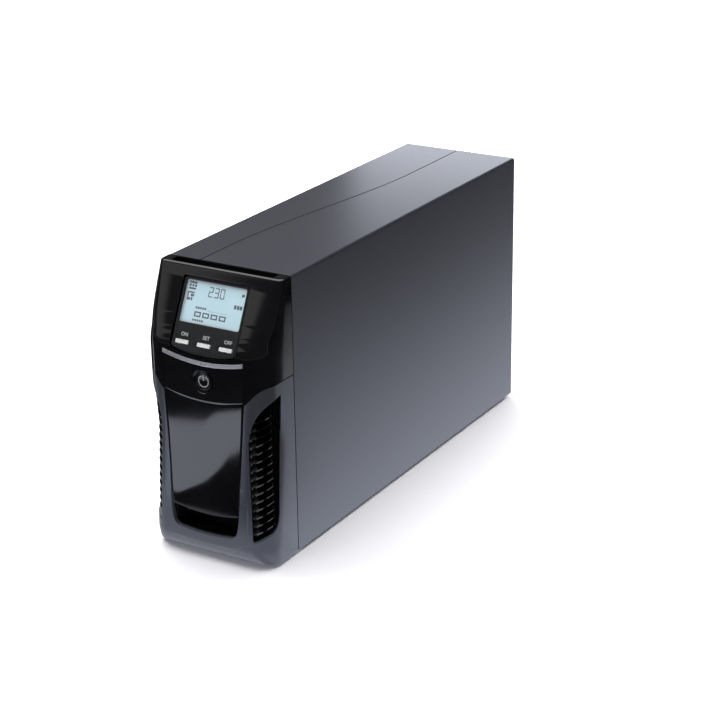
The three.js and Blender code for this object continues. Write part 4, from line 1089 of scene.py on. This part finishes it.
class UPS_OT_power_button(Build):
    """Round power button with a raised symbol"""

    bl_idname = "power_supply.power_button"
    bl_label = "Power button"

    def execute(self, context):
        face = -front_depth(POWER_HEIGHT) + DISH_DEPTH - POWER_PROUD
        crown = [(0.35, 0.5), (0.3, 3), (0.1, 5), (-0.25, 6.2), (-0.55, 6.9), (-0.55, 7.2), (-0.3, 7.7)]
        flange = POWER_RADIUS + 2
        stem = [(0.1, POWER_RADIUS), (6.6, POWER_RADIUS), (6.6, flange), (8, flange), (8, 2.5), (12, 2.5)]
        profile = [(face + depth, radius) for depth, radius in crown + stem]
        cap = placed(turned("power_button_cap", profile, 0, POWER_HEIGHT, 64))
        smoothed(cap, 35)
        kept(cap, FINISHES["gloss_black"], "power_button", "gloss_black", "power_button")
        kept(self.symbol(face), FINISHES["symbol"], "power_button", "gloss_black")
        return {"FINISHED"}

    def symbol(self, face):
        """Open ring with a bar, standing a little proud of the cap."""
        rings = []
        for i in range(41):
            turn = math.radians(24 + 312 * i / 40)
            ring = []
            for radius, depth in ((4.3, 0.5), (4.3, 0.02), (5.3, -0.02), (5.3, 0.5)):
                ring.append((radius * math.sin(turn), face + depth, POWER_HEIGHT + radius * math.cos(turn)))
            rings.append(ring)
        arc = ring_body("arc", rings)
        section = ((-0.55, 0.5), (0.55, 0.5), (0.55, 0), (-0.55, 0))
        bar = ring_body("bar", [
            [(x, face + depth, POWER_HEIGHT + z) for x, depth in section] for z in (0.4, 2.4, 4.2, 5.9)])
        mark = joined("power_symbol", [arc, bar])
        bevelled(mark, 0.08, 1, 50)
        return smoothed(placed(mark))


class UPS_OT_front_door(Build):
    """Curved gloss door with its hinge pins"""

    bl_idname = "power_supply.front_door"
    bl_label = "Front door"

    def execute(self, context):
        door = sheet_body("front_door_panel", 40, 60, door_point, DOOR_THICK - 0.4)
        bevelled(placed(door), 0.6 * MM, 3, 50)
        smoothed(door)
        kept(door, FINISHES["gloss_black"], "front_door", "gloss_black", "front_door")
        hinge = next(j for j in frame["joints"] if j["name"] == "front_door_hinge")
        self.pins(Vector(hinge["pos_m"]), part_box("front_door")[1].x)
        return {"FINISHED"}

    def pins(self, centre, reach):
        pins = []
        for side in (-1, 1):
            bpy.ops.mesh.primitive_cylinder_add(
                vertices=24, radius=MM, depth=5 * MM,
                location=(side * (reach - 2.5 * MM), centre.y, centre.z), rotation=(0, math.pi / 2, 0))
            pins.append(bpy.context.object)
        pair = joined("front_door_pins", pins)
        make_active(pair)
        bpy.ops.object.transform_apply()
        bevelled(pair, 0.25 * MM, 3, 50)
        smoothed(pair)
        kept(pair, FINISHES["gloss_black"], "front_door", "gloss_black")


class UPS_OT_recess(Build):
    """Black liner of the finger recess"""

    bl_idname = "power_supply.recess"
    bl_label = "Finger recess"

    def execute(self, context):
        eased("recess_liner", "recess_liner_tray", FINISHES["matte_black"], 0.4, 3)
        return {"FINISHED"}


# ------------------------------------------------------------------ display

def behind_panel(x, z, depth):
    """Point behind the display panel's face, in the panel's own frame."""
    return (x, depth, z)


class UPS_OT_display(Build):
    """Satin display panel with its lens, the pale border on the backlit glass, and keys"""

    bl_idname = "power_supply.display"
    bl_label = "Display"

    def execute(self, context):
        edge = sizes().edge / MM
        self.panel()
        lens = eased("lcd_lens", "lcd_lens_plate", FINISHES["clear_lens"], 0.2)
        lens.visible_shadow = False
        kept(self.border(), FINISHES["border"], "root", "lcd_glass")
        for node in ("on_key", "select_key", "standby_key"):
            eased(node, f"{node}_cap", FINISHES["key_white"], edge, 3)
        return {"FINISHED"}

    def panel(self):
        face = round_body("display_panel_face", display_outline(0), 0, 2.6, 0.4)
        edge = PANEL_GAP + 0.6
        foot = SKIN * 1.25 + 1
        reach = PANEL_WIDTH / 2 + edge
        flange = slab("flange", rectangle(-reach, reach, foot, PANEL_HEIGHT + edge), 2.5, 4)
        combined(face, flange, "UNION")
        half = LCD_WIDTH / 2
        window = rounded_rectangle(-half, half, LCD_FOOT, LCD_FOOT + LCD_HEIGHT, 1.6)
        combined(face, round_cutter("window", window, behind_panel, 20, 0.4), "DIFFERENCE")
        seat = rectangle(-half - 1.5, half + 1.5, LCD_FOOT - 1.5, LCD_FOOT + LCD_HEIGHT + 1.2)
        combined(face, slab("rebate", seat, 1.6, 20), "DIFFERENCE")
        for node in ("on_key", "select_key", "standby_key"):
            low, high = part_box(node)
            x = (low.x + high.x) / 2 / MM
            hole = rounded_rectangle(x - 6.55, x + 6.55, KEY_FOOT - 2.05, KEY_FOOT + 2.05, 0.8)
            combined(face, round_cutter("hole", hole, behind_panel, 20, 0.25), "DIFFERENCE")
        placed(face, DISPLAY)
        smoothed(face)
        kept(face, FINISHES["satin_black"], "root", "satin_black", "display_panel")

    def border(self):
        """Pale frame round the lit area."""
        half, low, high = LCD_WIDTH / 2 - 0.2, LCD_FOOT + 0.2, LCD_FOOT + LCD_HEIGHT - 0.2
        outer = rounded_rectangle(-half, half, low, high, 1.5)
        inner = rounded_rectangle(1.1 - half, half - 1.1, low + 1.1, high - 1.1, 0.8)
        frame_plate = slab("lcd_border", outer, LCD_FACE - 0.16, LCD_FACE - 0.04)
        combined(frame_plate, slab("inner", inner, 0, 5), "DIFFERENCE")
        return placed(frame_plate, DISPLAY)


def round_body(name, outline, y0, y1, radius):
    """Slab whose front rim is rounded."""
    steps = 4
    levels = []
    for i in range(steps + 1):
        turn = math.pi / 2 * i / steps
        levels.append((y0 + radius * (1 - math.sin(turn)), -radius * (1 - math.cos(turn))))
    rings = [[(x, depth, z) for x, z in grown(outline, margin)] for depth, margin in reversed(levels)]
    rings.append([(x, y1, z) for x, z in outline])
    return ring_body(name, rings)


SEGMENTS = {
    "0": "abcdef", "1": "bc", "2": "abged", "3": "abgcd", "4": "fgbc",
    "5": "afgcd", "6": "afgedc", "7": "abc", "8": "abcdefg", "9": "abcdfg",
}


class UPS_OT_display_marks(Build):
    """Dark marks of the display and the pale labels of its keys"""

    bl_idname = "power_supply.display_marks"
    bl_label = "Display marks"

    def execute(self, context):
        marks = self.reading(-7.8, 44.6) + self.icons() + self.charge_row() + self.side_marks()
        for part in marks:
            placed(part, DISPLAY)
        kept(joined("lcd_marks", marks), FINISHES["mark"], "root", "lcd_glass")
        labels = [self.word(text, x) for text, x in (("ON", -KEY_PITCH), ("SET", 0), ("OFF", KEY_PITCH))]
        kept(joined("key_labels", labels), FINISHES["label"], "root", "satin_black")
        return {"FINISHED"}

    def bar(self, x0, x1, z0, z1):
        return slab("mark", rectangle(x0, x1, z0, z1), LCD_FACE - 0.1, LCD_FACE - 0.04)

    def reading(self, x, z):
        """Seven-segment digits of the reading."""
        width, height, line, step = 4.3, 8.4, 0.8, 5.6
        spots = {
            "a": (0.4, height - line, width - 0.4, height),
            "g": (0.4, height / 2 - line / 2, width - 0.4, height / 2 + line / 2),
            "d": (0.4, 0, width - 0.4, line), "f": (0, height / 2 + 0.3, line, height - 0.4),
            "b": (width - line, height / 2 + 0.3, width, height - 0.4),
            "e": (0, 0.4, line, height / 2 - 0.3), "c": (width - line, 0.4, width, height / 2 - 0.3),
        }
        bars = []
        for place, digit in enumerate(sizes().reading):
            for segment in SEGMENTS[digit]:
                x0, z0, x1, z1 = spots[segment]
                left = x + place * step
                bars.append(self.bar(left + x0, left + x1, z + z0, z + z1))
        return bars

    def icons(self):
        """Socket and battery signs, one above the other at the left."""
        left = -LCD_WIDTH / 2 + 1.6
        bars = [self.bar(left, left + 7.2, 53.4, 55.1)]
        bars += self.row(left + 0.2, 2.6, 1.8, 50.6, 52.8, 3)
        bars += [self.bar(left + 0.2, left + 6.8, 48.4, 50)]
        bars += [self.bar(left, left + 6.4, 45.4, 46.6), self.bar(left, left + 1.1, 41.4, 45.6),
                 self.bar(left + 3.2, left + 6.4, 42.6, 44.8), self.bar(left, left + 3.2, 39.4, 41.6),
                 self.bar(left + 3.8, left + 5.4, 39.4, 42)]
        return bars

    def charge_row(self):
        """Four charge boxes between two rows of small marks."""
        start, pitch, z = -17.4, 8.1, 27
        bars = []
        for i in range(4):
            x = start + i * pitch
            bars += [self.bar(x, x + 6.4, z + 3.2, z + 4.3), self.bar(x, x + 6.4, z, z + 1.1),
                     self.bar(x, x + 1.2, z + 1, z + 3.3), self.bar(x + 5.2, x + 6.4, z + 1, z + 3.3)]
        bars += self.row(start, 2.2, 1.6, 33.6, 35.4, 5)
        bars += self.row(-5, 1.6, 0.7, 33, 33.4, 12)
        bars += self.row(-18, 2.2, 1.6, 23.4, 25, 5)
        return bars

    def row(self, start, step, width, z0, z1, count):
        lefts = [start + step * i for i in range(count)]
        return [self.bar(left, left + width, z0, z1) for left in lefts]

    def side_marks(self):
        right = LCD_WIDTH / 2 - 2.6
        first, middle, last = ((right - 7.8, right - 5.6), (right - 5, right - 2.8), (right - 2.4, right))
        bars = [self.bar(right - 2.6, right, 49.4, 51.8)]
        return bars + [self.bar(x0, x1, 38.8, 42) for x0, x1 in (first, middle, last)]

    def word(self, text, x):
        select_none()
        bpy.ops.object.text_add(location=(0, 0, 0))
        label = bpy.context.object
        label.data.body = text
        label.data.align_x = "CENTER"
        label.data.size = 4.3
        label.data.extrude = 0.03
        label.data.offset = 0.1
        bpy.ops.object.convert(target="MESH")
        label = bpy.context.object
        spot = Matrix.Translation((x + 0.8, -0.02, KEY_FOOT + 4.9))
        return placed(label, DISPLAY @ spot @ Matrix.Rotation(math.pi / 2, 4, "X"))


# ------------------------------------------------------------------ rear

REAR_SOFT = {
    "rear_panel": ("rear_panel_sheet", 0.15), "mains_inlet": ("mains_inlet_moulding", 0.35),
    "breaker_body": ("breaker_nut", 0.3), "breaker_button": ("breaker_plunger", 0.5),
    "usb_port": ("usb_port_shell", 0.25),
    "surge_jacks": ("surge_jack_block", 0.3), "fan_frame": ("fan_frame_moulding", 0.5),
    "fan_rotor": ("fan_rotor_moulding", 0.25), "ground_screw": ("ground_screw_head", 0.3),
}


class UPS_OT_rear(Build):
    """Rear panel with its inlet, breaker, ports and fan, their edges eased"""

    bl_idname = "power_supply.rear"
    bl_label = "Rear panel and fittings"

    def execute(self, context):
        for node, (name, width) in REAR_SOFT.items():
            eased(node, name, FINISHES[slot_of(node)], width, 2)
        for i in range(1, 7):
            eased(f"outlet_{i}", f"outlet_{i}_moulding", FINISHES["satin_black"], 0.35, 2)
        return {"FINISHED"}


class UPS_OT_serial_port(Build):
    """Serial port: a D-shaped shell around an insert with nine pins, between two hexagon posts"""

    bl_idname = "power_supply.serial_port"
    bl_label = "Serial port"

    def execute(self, context):
        low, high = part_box("serial_port")
        x = (low.x + high.x) / 2 / MM
        z = ((low.z + high.z) / 2 - CASE_ORIGIN.z) / MM
        half_x, half_z = (high.x - low.x) / 2 / MM, (high.z - low.z) / 2 / MM
        inner, face = ((corner.y - CASE_ORIGIN.y) / MM for corner in (low, high))
        plate_face = face - 2.9
        block = rectangle(x - half_x, x + half_x, z - half_z, z + half_z)
        plate = bevelled(slab("plate", block, inner, plate_face), 0.3)
        mouth = chamfered([(x - 4, z - 8), (x + 4, z - 9), (x + 4, z + 9), (x - 4, z + 8)], 1.4)
        shell = slab("shell", mouth, plate_face - 1, face)
        combined(shell, slab("mouth", grown(mouth, -0.6), plate_face - 0.5, face + 1), "DIFFERENCE")
        post = [(plate_face - 0.3, 2.6), (face - 0.9, 2.6), (face - 0.6, 2.3),
                (face - 0.6, 1.2), (face - 1.8, 1.1)]
        posts = [turned("post", post, x, z + side * 12.4, 6) for side in (-1, 1)]
        port = placed(joined("serial_port_shell", [plate, bevelled(shell, 0.15), *posts]))
        kept(smoothed(port, 35), FINISHES["plated"], "root", "zinc_steel", "serial_port")
        insert = slab("serial_port_insert", grown(mouth, -1.3), plate_face - 0.5, face - 1.6)
        insert = placed(bevelled(insert, 0.2))
        kept(smoothed(insert), FINISHES["satin_black"], "root", slot_of("surge_jacks"))
        pin = [(face - 2, 0.55), (face - 0.9, 0.55), (face - 0.6, 0.3)]
        pins = []
        for row, count in ((-1.42, 4), (1.42, 5)):
            for i in range(count):
                at = z + (i - (count - 1) / 2) * 2.77
                pins.append(turned("pin", pin, x + row, at, 12))
        pins = placed(joined("serial_port_pins", pins))
        kept(smoothed(pins, 35), FINISHES["brass"], "root", "zinc_steel")
        return {"FINISHED"}


class UPS_OT_fan_guard(Build):
    """Wire guard over the fan: five welded rings on two crossed wires"""

    bl_idname = "power_supply.fan_guard"
    bl_label = "Fan guard"

    def execute(self, context):
        low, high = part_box("fan_guard")
        centre = (low + high) / 2
        reach = (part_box("fan_frame")[1].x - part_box("fan_frame")[0].x) / 2
        wire = sizes().wire
        parts = []
        for share in (0.2, 0.42, 0.64, 0.86, 0.97):
            select_none()
            bpy.ops.mesh.primitive_torus_add(
                major_segments=64, minor_segments=12, major_radius=reach * share, minor_radius=wire * 0.8,
                location=(centre.x, high.y - wire * 0.8, centre.z), rotation=(math.pi / 2, 0, 0))
            parts.append(bpy.context.object)
        for turn in (math.pi / 4, -math.pi / 4):
            select_none()
            bpy.ops.mesh.primitive_cylinder_add(
                vertices=16, radius=wire, depth=reach * 2 + 0.011,
                location=(centre.x, low.y + wire, centre.z), rotation=(0, turn, 0))
            rod = bpy.context.object
            bevelled(rod, wire * 0.4, 2, 50)
            parts.append(rod)
        guard = joined("fan_guard_wires", parts)
        make_active(guard)
        bpy.ops.object.transform_apply()
        smoothed(guard, 40)
        kept(guard, FINISHES["plated"], "root", "zinc_steel", "fan_guard")
        return {"FINISHED"}


def screw_head(name, x, y, z, radius):
    """Pan-head screw seen from behind, with a crossed slot. The head stands out along +y."""
    profile = [(y, radius), (y + 0.9, radius), (y + 1.5, radius * 0.78), (y + 1.8, radius * 0.4)]
    head = turned(name, profile, x, z, 32)
    for half_x, half_z in ((radius * 0.5, radius * 0.11), (radius * 0.11, radius * 0.5)):
        slot = rectangle(x - half_x, x + half_x, z - half_z, z + half_z)
        combined(head, slab("slot", slot, y + 0.9, y + 3), "DIFFERENCE")
    return head


class UPS_OT_rear_details(Build):
    """Cover screws, fan screws and the brass contacts inside the outlets"""

    bl_idname = "power_supply.rear_details"
    bl_label = "Screws and contacts"

    def execute(self, context):
        face = (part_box("rear_panel")[1].y - CASE_ORIGIN.y) / MM + 0.05
        edge = HALF_WIDTH - 5.5
        places = [(side * edge, z) for side in (-1, 1) for z in (9, CASE_HEIGHT / 2 - 40, CASE_HEIGHT - 92)]
        screws = [screw_head("screw", x, face, z, 2.6) for x, z in places]
        low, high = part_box("fan_frame")
        for x in (low.x / MM + 4.4, high.x / MM - 4.4):
            for z in ((low.z - CASE_ORIGIN.z) / MM + 4.4, (high.z - CASE_ORIGIN.z) / MM - 4.4):
                screws.append(screw_head("screw", x, face, z, 2.4))
        for screw in screws:
            placed(screw)
        heads = joined("rear_screws", screws)
        smoothed(heads, 35)
        kept(heads, FINISHES["plated"], "root", "zinc_steel")
        tabs = []
        for i in range(1, 7):
            low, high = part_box(f"outlet_{i}")
            x = (low.x + high.x) / 2 / MM
            z = ((low.z + high.z) / 2 - CASE_ORIGIN.z) / MM
            back = (high.y - CASE_ORIGIN.y) / MM - 9
            for dx, dz in ((-7, -1), (7, -1), (0, 2)):
                for side in (-1, 1):
                    at = x + dx + side * 0.72
                    outline = rectangle(at - 0.2, at + 0.2, z + dz - 1.8, z + dz + 1.8)
                    tabs.append(placed(slab("tab", outline, back - 2.5, back + 6)))
        contacts = joined("outlet_contacts", tabs)
        bevelled(contacts, 0.06 * MM, 1, 50)
        kept(contacts, FINISHES["brass"], "root", "zinc_steel")
        return {"FINISHED"}


# ------------------------------------------------------------------ inside

INSIDE_SOFT = {
    "front_frame": 0.15, "base_chassis": 0.2, "battery_bay": 0.2, "battery_front": 0.8,
    "battery_rear": 0.8, "battery_retainer": 0.3, "battery_link": 0.5, "main_board": 0.1,
    "heatsink_left": 0.2, "heatsink_right": 0.2, "capacitor_1": 0.6, "capacitor_2": 0.6,
    "relay_1": 0.6, "relay_2": 0.6, "transformer_core": 0.4, "transformer_coil": 1.2,
    "power_switch": 0.4, "display_board": 0.1, "lcd_module": 0.2, "battery_lead_red": 0.3,
    "battery_lead_black": 0.3,
}


class UPS_OT_inside(Build):
    """Frame, battery bay, batteries and electronics behind the bezels, their edges eased"""

    bl_idname = "power_supply.inside"
    bl_label = "Inside"

    def execute(self, context):
        for node, width in INSIDE_SOFT.items():
            eased(node, f"{node}_form", FINISHES[slot_of(node)], width, 2)
        return {"FINISHED"}


# ------------------------------------------------------------------ stage

VIEW_BEARING = math.radians(30.983)
VIEW_HEIGHT = math.radians(21.249)
VIEW_ROLL = math.radians(-0.873)
VIEW_DISTANCE = 1.76837
VIEW_SHIFT = (0.002994, -0.025636)
LENS = 96.28

FLOOR_COLOUR = (0.82, 0.82, 0.83)

# Cards on the floor lie in three layers, so that the upper one is the one mirrored. In metres.
LOW_LAYER, MID_LAYER, TOP_LAYER = 0.001, 0.002, 0.003


def camera_place():
    """Where the camera stands, with its right, up and backward directions."""
    low, high = FRAME_BOX
    target = Vector((0, high.y - 0.2, low.z + 0.123))
    back = Vector((math.sin(VIEW_BEARING) * math.cos(VIEW_HEIGHT),
                   -math.cos(VIEW_BEARING) * math.cos(VIEW_HEIGHT), math.sin(VIEW_HEIGHT)))
    level = (-back).cross(Vector((0, 0, 1))).normalized()
    rise = level.cross(-back)
    right = math.cos(VIEW_ROLL) * level + math.sin(VIEW_ROLL) * rise
    up = math.cos(VIEW_ROLL) * rise - math.sin(VIEW_ROLL) * level
    place = target + back * VIEW_DISTANCE + right * VIEW_SHIFT[0] + up * VIEW_SHIFT[1]
    return place, right, up, back


def mirrored_floor(s, t):
    """Point of the floor that the shut door mirrors at s across and t up."""
    x, y, z = door_point(s, t)
    reach = 0.05
    slope = (front_depth(z + reach) - front_depth(z - reach)) / (2 * reach)
    spot = CASE_ORIGIN + Vector((x, y, z)) * MM
    ray = (spot - camera_place()[0]).reflect(Vector((0, -1, -slope)).normalized())
    ground = spot - ray * (spot.z / ray.z)
    return Vector((ground.x, ground.y, MID_LAYER))


def door_light():
    """Outline on the floor of the light that the door mirrors.

    Each corner is a place on the door, then a push along the floor. The pushes carry the light past
    the door's sides."""
    corners = [
        (0, 0.72, -0.024, 0.008), (0, 0.72, 0, 0), (0.5, 0.816, 0, 0), (0.65, 0.91, 0, 0),
        (1, 0.95, 0.008, -0.005), (1, 0.63, 0.008, 0), (0.82, 0.52, 0, 0), (0.68, 0.4, 0, 0),
        (0.5, 0.28, 0, 0), (0.1, 0.1, 0, 0), (0.1, 0.1, -0.027, 0.008),
    ]
    return [mirrored_floor(s, t) + Vector((x, y, 0)) for s, t, x, y in corners]


def glow_card(name, corners, strength, colour=(1, 1, 1), fade=None):
    """Card that only shows in reflections, its corners in metres.

    fade = (axis, start, end, strength at the end)."""
    select_none()
    bpy.ops.mesh.primitive_circle_add(vertices=len(corners), radius=1, fill_type="NGON")
    card = bpy.context.object
    card.name = name
    for vertex, corner in zip(card.data.vertices, corners):
        vertex.co = corner
    material = bpy.data.materials.new(name)
    material.use_nodes = True
    nodes = material.node_tree.nodes
    nodes.clear()
    lamp = nodes.new("ShaderNodeEmission")
    lamp.inputs["Color"].default_value = (*colour, 1)
    lamp.inputs["Strength"].default_value = strength
    output = nodes.new("ShaderNodeOutputMaterial")
    links = material.node_tree.links
    links.new(lamp.outputs["Emission"], output.inputs["Surface"])
    if fade:
        axis, start, end, last = fade
        places = nodes.new("ShaderNodeTexCoord")
        split = nodes.new("ShaderNodeSeparateXYZ")
        span = nodes.new("ShaderNodeMapRange")
        for key, value in (("From Min", start), ("From Max", end), ("To Min", strength), ("To Max", last)):
            span.inputs[key].default_value = value
        links.new(places.outputs["Object"], split.inputs["Vector"])
        links.new(split.outputs[axis], span.inputs["Value"])
        links.new(span.outputs["Result"], lamp.inputs["Strength"])
    card.data.materials.append(material)
    card.visible_camera = False
    card.visible_diffuse = False
    card.visible_shadow = False
    card.visible_transmission = False
    return card


def softbox(name, place, target, width, height, power):
    select_none()
    bpy.ops.object.light_add(type="AREA", location=place)
    lamp = bpy.context.object
    lamp.name = name
    lamp.data.shape = "RECTANGLE"
    lamp.data.size, lamp.data.size_y = width, height
    lamp.data.energy = power
    lamp.rotation_euler = (Vector(place) - Vector(target)).to_track_quat("Z", "Y").to_euler()
    lamp.visible_camera = False
    return lamp


class UPS_OT_stage(Build):
    """Pale floor, soft light and the camera"""

    bl_idname = "power_supply.stage"
    bl_label = "Stage"

    def execute(self, context):
        self.floor()
        self.world()
        softbox("top_light", (-0.4, 0.1, 1.9), (0, 0, 0.1), 2.2, 2.2, 52)
        far_light = softbox("far_light", (-1.5, 4.5, 2.5), (-1.5, 4.5, 0), 5, 3, 150)
        far_light.visible_glossy = False
        self.cards()
        self.camera()
        return {"FINISHED"}

    def cards(self):
        """Dark and bright fields that the glossy faces mirror."""
        front, side, far = -0.315, FRAME_BOX[1].x, 4
        corner, end = (side, -0.23), (0.46, 0.43)
        cool, pale = (0.95, 0.98, 1.06), (0.95, 0.97, 1.05)

        def lying(layer, *points):
            return [(x, y, layer) for x, y in points]

        def standing(y, x0, x1, z0, z1):
            return [(x0, y, z0), (x1, y, z0), (x1, y, z1), (x0, y, z1)]

        glow_card("dark_floor", lying(
            LOW_LAYER, (-far, front), (-far, -far), (far, -far), (far, end[1]), end, corner), 0.03)
        glow_card("dark_floor_left", lying(
            LOW_LAYER, (-0.07, -0.17), (-0.07, far), (-far, far), (-far, -0.17)), 0.05)
        glow_card("near_floor", lying(
            MID_LAYER, (-0.3, -0.17), (-0.3, front), (0.17, front), (0.17, -0.12), (side, -0.17)), 0.85, pale)
        glow_card("side_floor", lying(
            MID_LAYER, corner, end, (far, end[1]), (far, far), (side, far)), 1.6, cool,
            fade=("X", side, 0.375, 0))
        glow_card("bezel_floor", lying(
            TOP_LAYER, (0.192, -0.012), (0.4, 0.333), (0.4, 0.385), (0.192, 0.04)), 2.3, cool,
            fade=("X", side, 0.4, 0.31))
        glow_card("door_card", door_light(), 2.9, (0.9, 0.95, 1.1))
        glow_card("rear_card", standing(0.55, -0.32, 0.04, 0, 0.42), 2.6, cool)
        glow_card("head_card", standing(-1.6, -2.4, -0.7, 0.5, 1.4), 0.8, fade=("X", -1.14, -0.95, 0.12))

    def floor(self):
        select_none()
        bpy.ops.mesh.primitive_plane_add(size=80)
        ground = bpy.context.object
        ground.name = "floor"
        finish = Finish("floor_white", FLOOR_COLOUR, 0.75, 0.0, 0.1)
        finish.vary_roughness(0.05, 3)
        path = finish.nodes.new("ShaderNodeLightPath")
        mix = finish.nodes.new("ShaderNodeMix")
        mix.data_type = "RGBA"
        mix.clamp_factor = True
        mix.inputs["A"].default_value = (*FLOOR_COLOUR, 1)
        mix.inputs["B"].default_value = (1.28, 1.26, 1.29, 1)
        finish.links.new(path.outputs["Is Camera Ray"], mix.inputs["Factor"])
        finish.links.new(mix.outputs["Result"], finish.surface.inputs["Base Color"])
        ground.data.materials.append(finish.material)
        self.brighten_far(finish, path)

    def brighten_far(self, finish, path):
        """The floor goes over into the backdrop away from the object."""
        place = finish.nodes.new("ShaderNodeTexCoord")
        reach = finish.nodes.new("ShaderNodeVectorMath")
        reach.operation = "LENGTH"
        finish.links.new(place.outputs["Object"], reach.inputs[0])
        far = finish.nodes.new("ShaderNodeMapRange")
        far.inputs["From Min"].default_value = 0.7
        far.inputs["From Max"].default_value = 1.6
        finish.links.new(reach.outputs["Value"], far.inputs["Value"])
        seen = finish.nodes.new("ShaderNodeMath")
        seen.operation = "MULTIPLY"
        finish.links.new(far.outputs["Result"], seen.inputs[0])
        finish.links.new(path.outputs["Is Camera Ray"], seen.inputs[1])
        finish.surface.inputs["Emission Color"].default_value = (1, 1, 1, 1)
        finish.links.new(seen.outputs["Value"], finish.surface.inputs["Emission Strength"])

    def world(self):
        world = bpy.data.worlds.new("studio")
        bpy.context.scene.world = world
        world.use_nodes = True
        nodes, links = world.node_tree.nodes, world.node_tree.links
        room = nodes["Background"]
        room.inputs["Color"].default_value = (0.93, 0.95, 1, 1)
        room.inputs["Strength"].default_value = 0.32
        backdrop = nodes.new("ShaderNodeBackground")
        backdrop.inputs["Color"].default_value = (1, 1, 1, 1)
        backdrop.inputs["Strength"].default_value = 1.1
        mirrored = nodes.new("ShaderNodeBackground")
        mirrored.inputs["Strength"].default_value = 0.12
        path = nodes.new("ShaderNodeLightPath")
        shader = room.outputs["Background"]
        for ray, other in (("Is Glossy Ray", mirrored), ("Is Camera Ray", backdrop)):
            mix = nodes.new("ShaderNodeMixShader")
            links.new(path.outputs[ray], mix.inputs["Fac"])
            links.new(shader, mix.inputs[1])
            links.new(other.outputs["Background"], mix.inputs[2])
            shader = mix.outputs["Shader"]
        links.new(shader, nodes["World Output"].inputs["Surface"])
        bpy.context.scene.view_settings.view_transform = "Standard"

    def camera(self):
        place, right, up, back = camera_place()
        select_none()
        bpy.ops.object.camera_add(location=place)
        camera = bpy.context.object
        camera.rotation_euler = Matrix((right, up, back)).transposed().to_euler()
        camera.data.lens = LENS
        camera.data.sensor_width = 36
        bpy.context.scene.camera = camera


# ------------------------------------------------------------------ panel and registration

OPERATORS = (
    UPS_OT_finishes, UPS_OT_stage, UPS_OT_covers, UPS_OT_feet, UPS_OT_upper_bezel, UPS_OT_lower_bezel,
    UPS_OT_louvres, UPS_OT_front_trim, UPS_OT_power_button, UPS_OT_front_door, UPS_OT_recess, UPS_OT_display,
    UPS_OT_display_marks, UPS_OT_rear, UPS_OT_serial_port, UPS_OT_fan_guard, UPS_OT_rear_details,
    UPS_OT_inside,
)


class UPS_PT_build(bpy.types.Panel):
    """Sidebar list of what the power supply is made of"""

    bl_idname = "UPS_PT_build"
    bl_label = "Power supply"
    bl_space_type = "VIEW_3D"
    bl_region_type = "UI"
    bl_category = "Power supply"

    def draw(self, context):
        column = self.layout.column()
        for name in ("rim", "edge", "fold", "level", "wire", "reading"):
            column.prop(context.scene.power_supply_sizes, name)
        for name in ("paint", "bezel", "gloss", "satin", "matte", "trim", "display"):
            column.prop(context.scene.power_supply_colours, name)
        for operator in OPERATORS:
            column.operator(operator.bl_idname)


CLASSES = (PowerSupplySizes, PowerSupplyColours, *OPERATORS, UPS_PT_build)


def register():
    for item in CLASSES:
        bpy.utils.register_class(item)
    bpy.types.Scene.power_supply_sizes = PointerProperty(type=PowerSupplySizes)
    bpy.types.Scene.power_supply_colours = PointerProperty(type=PowerSupplyColours)


def unregister():
    del bpy.types.Scene.power_supply_colours
    del bpy.types.Scene.power_supply_sizes
    for item in reversed(CLASSES):
        bpy.utils.unregister_class(item)


def main():
    register()
    select_none()
    for operator in OPERATORS:
        group, name = operator.bl_idname.split(".")
        getattr(getattr(bpy.ops, group), name)()


if __name__ == "__main__":
    main()
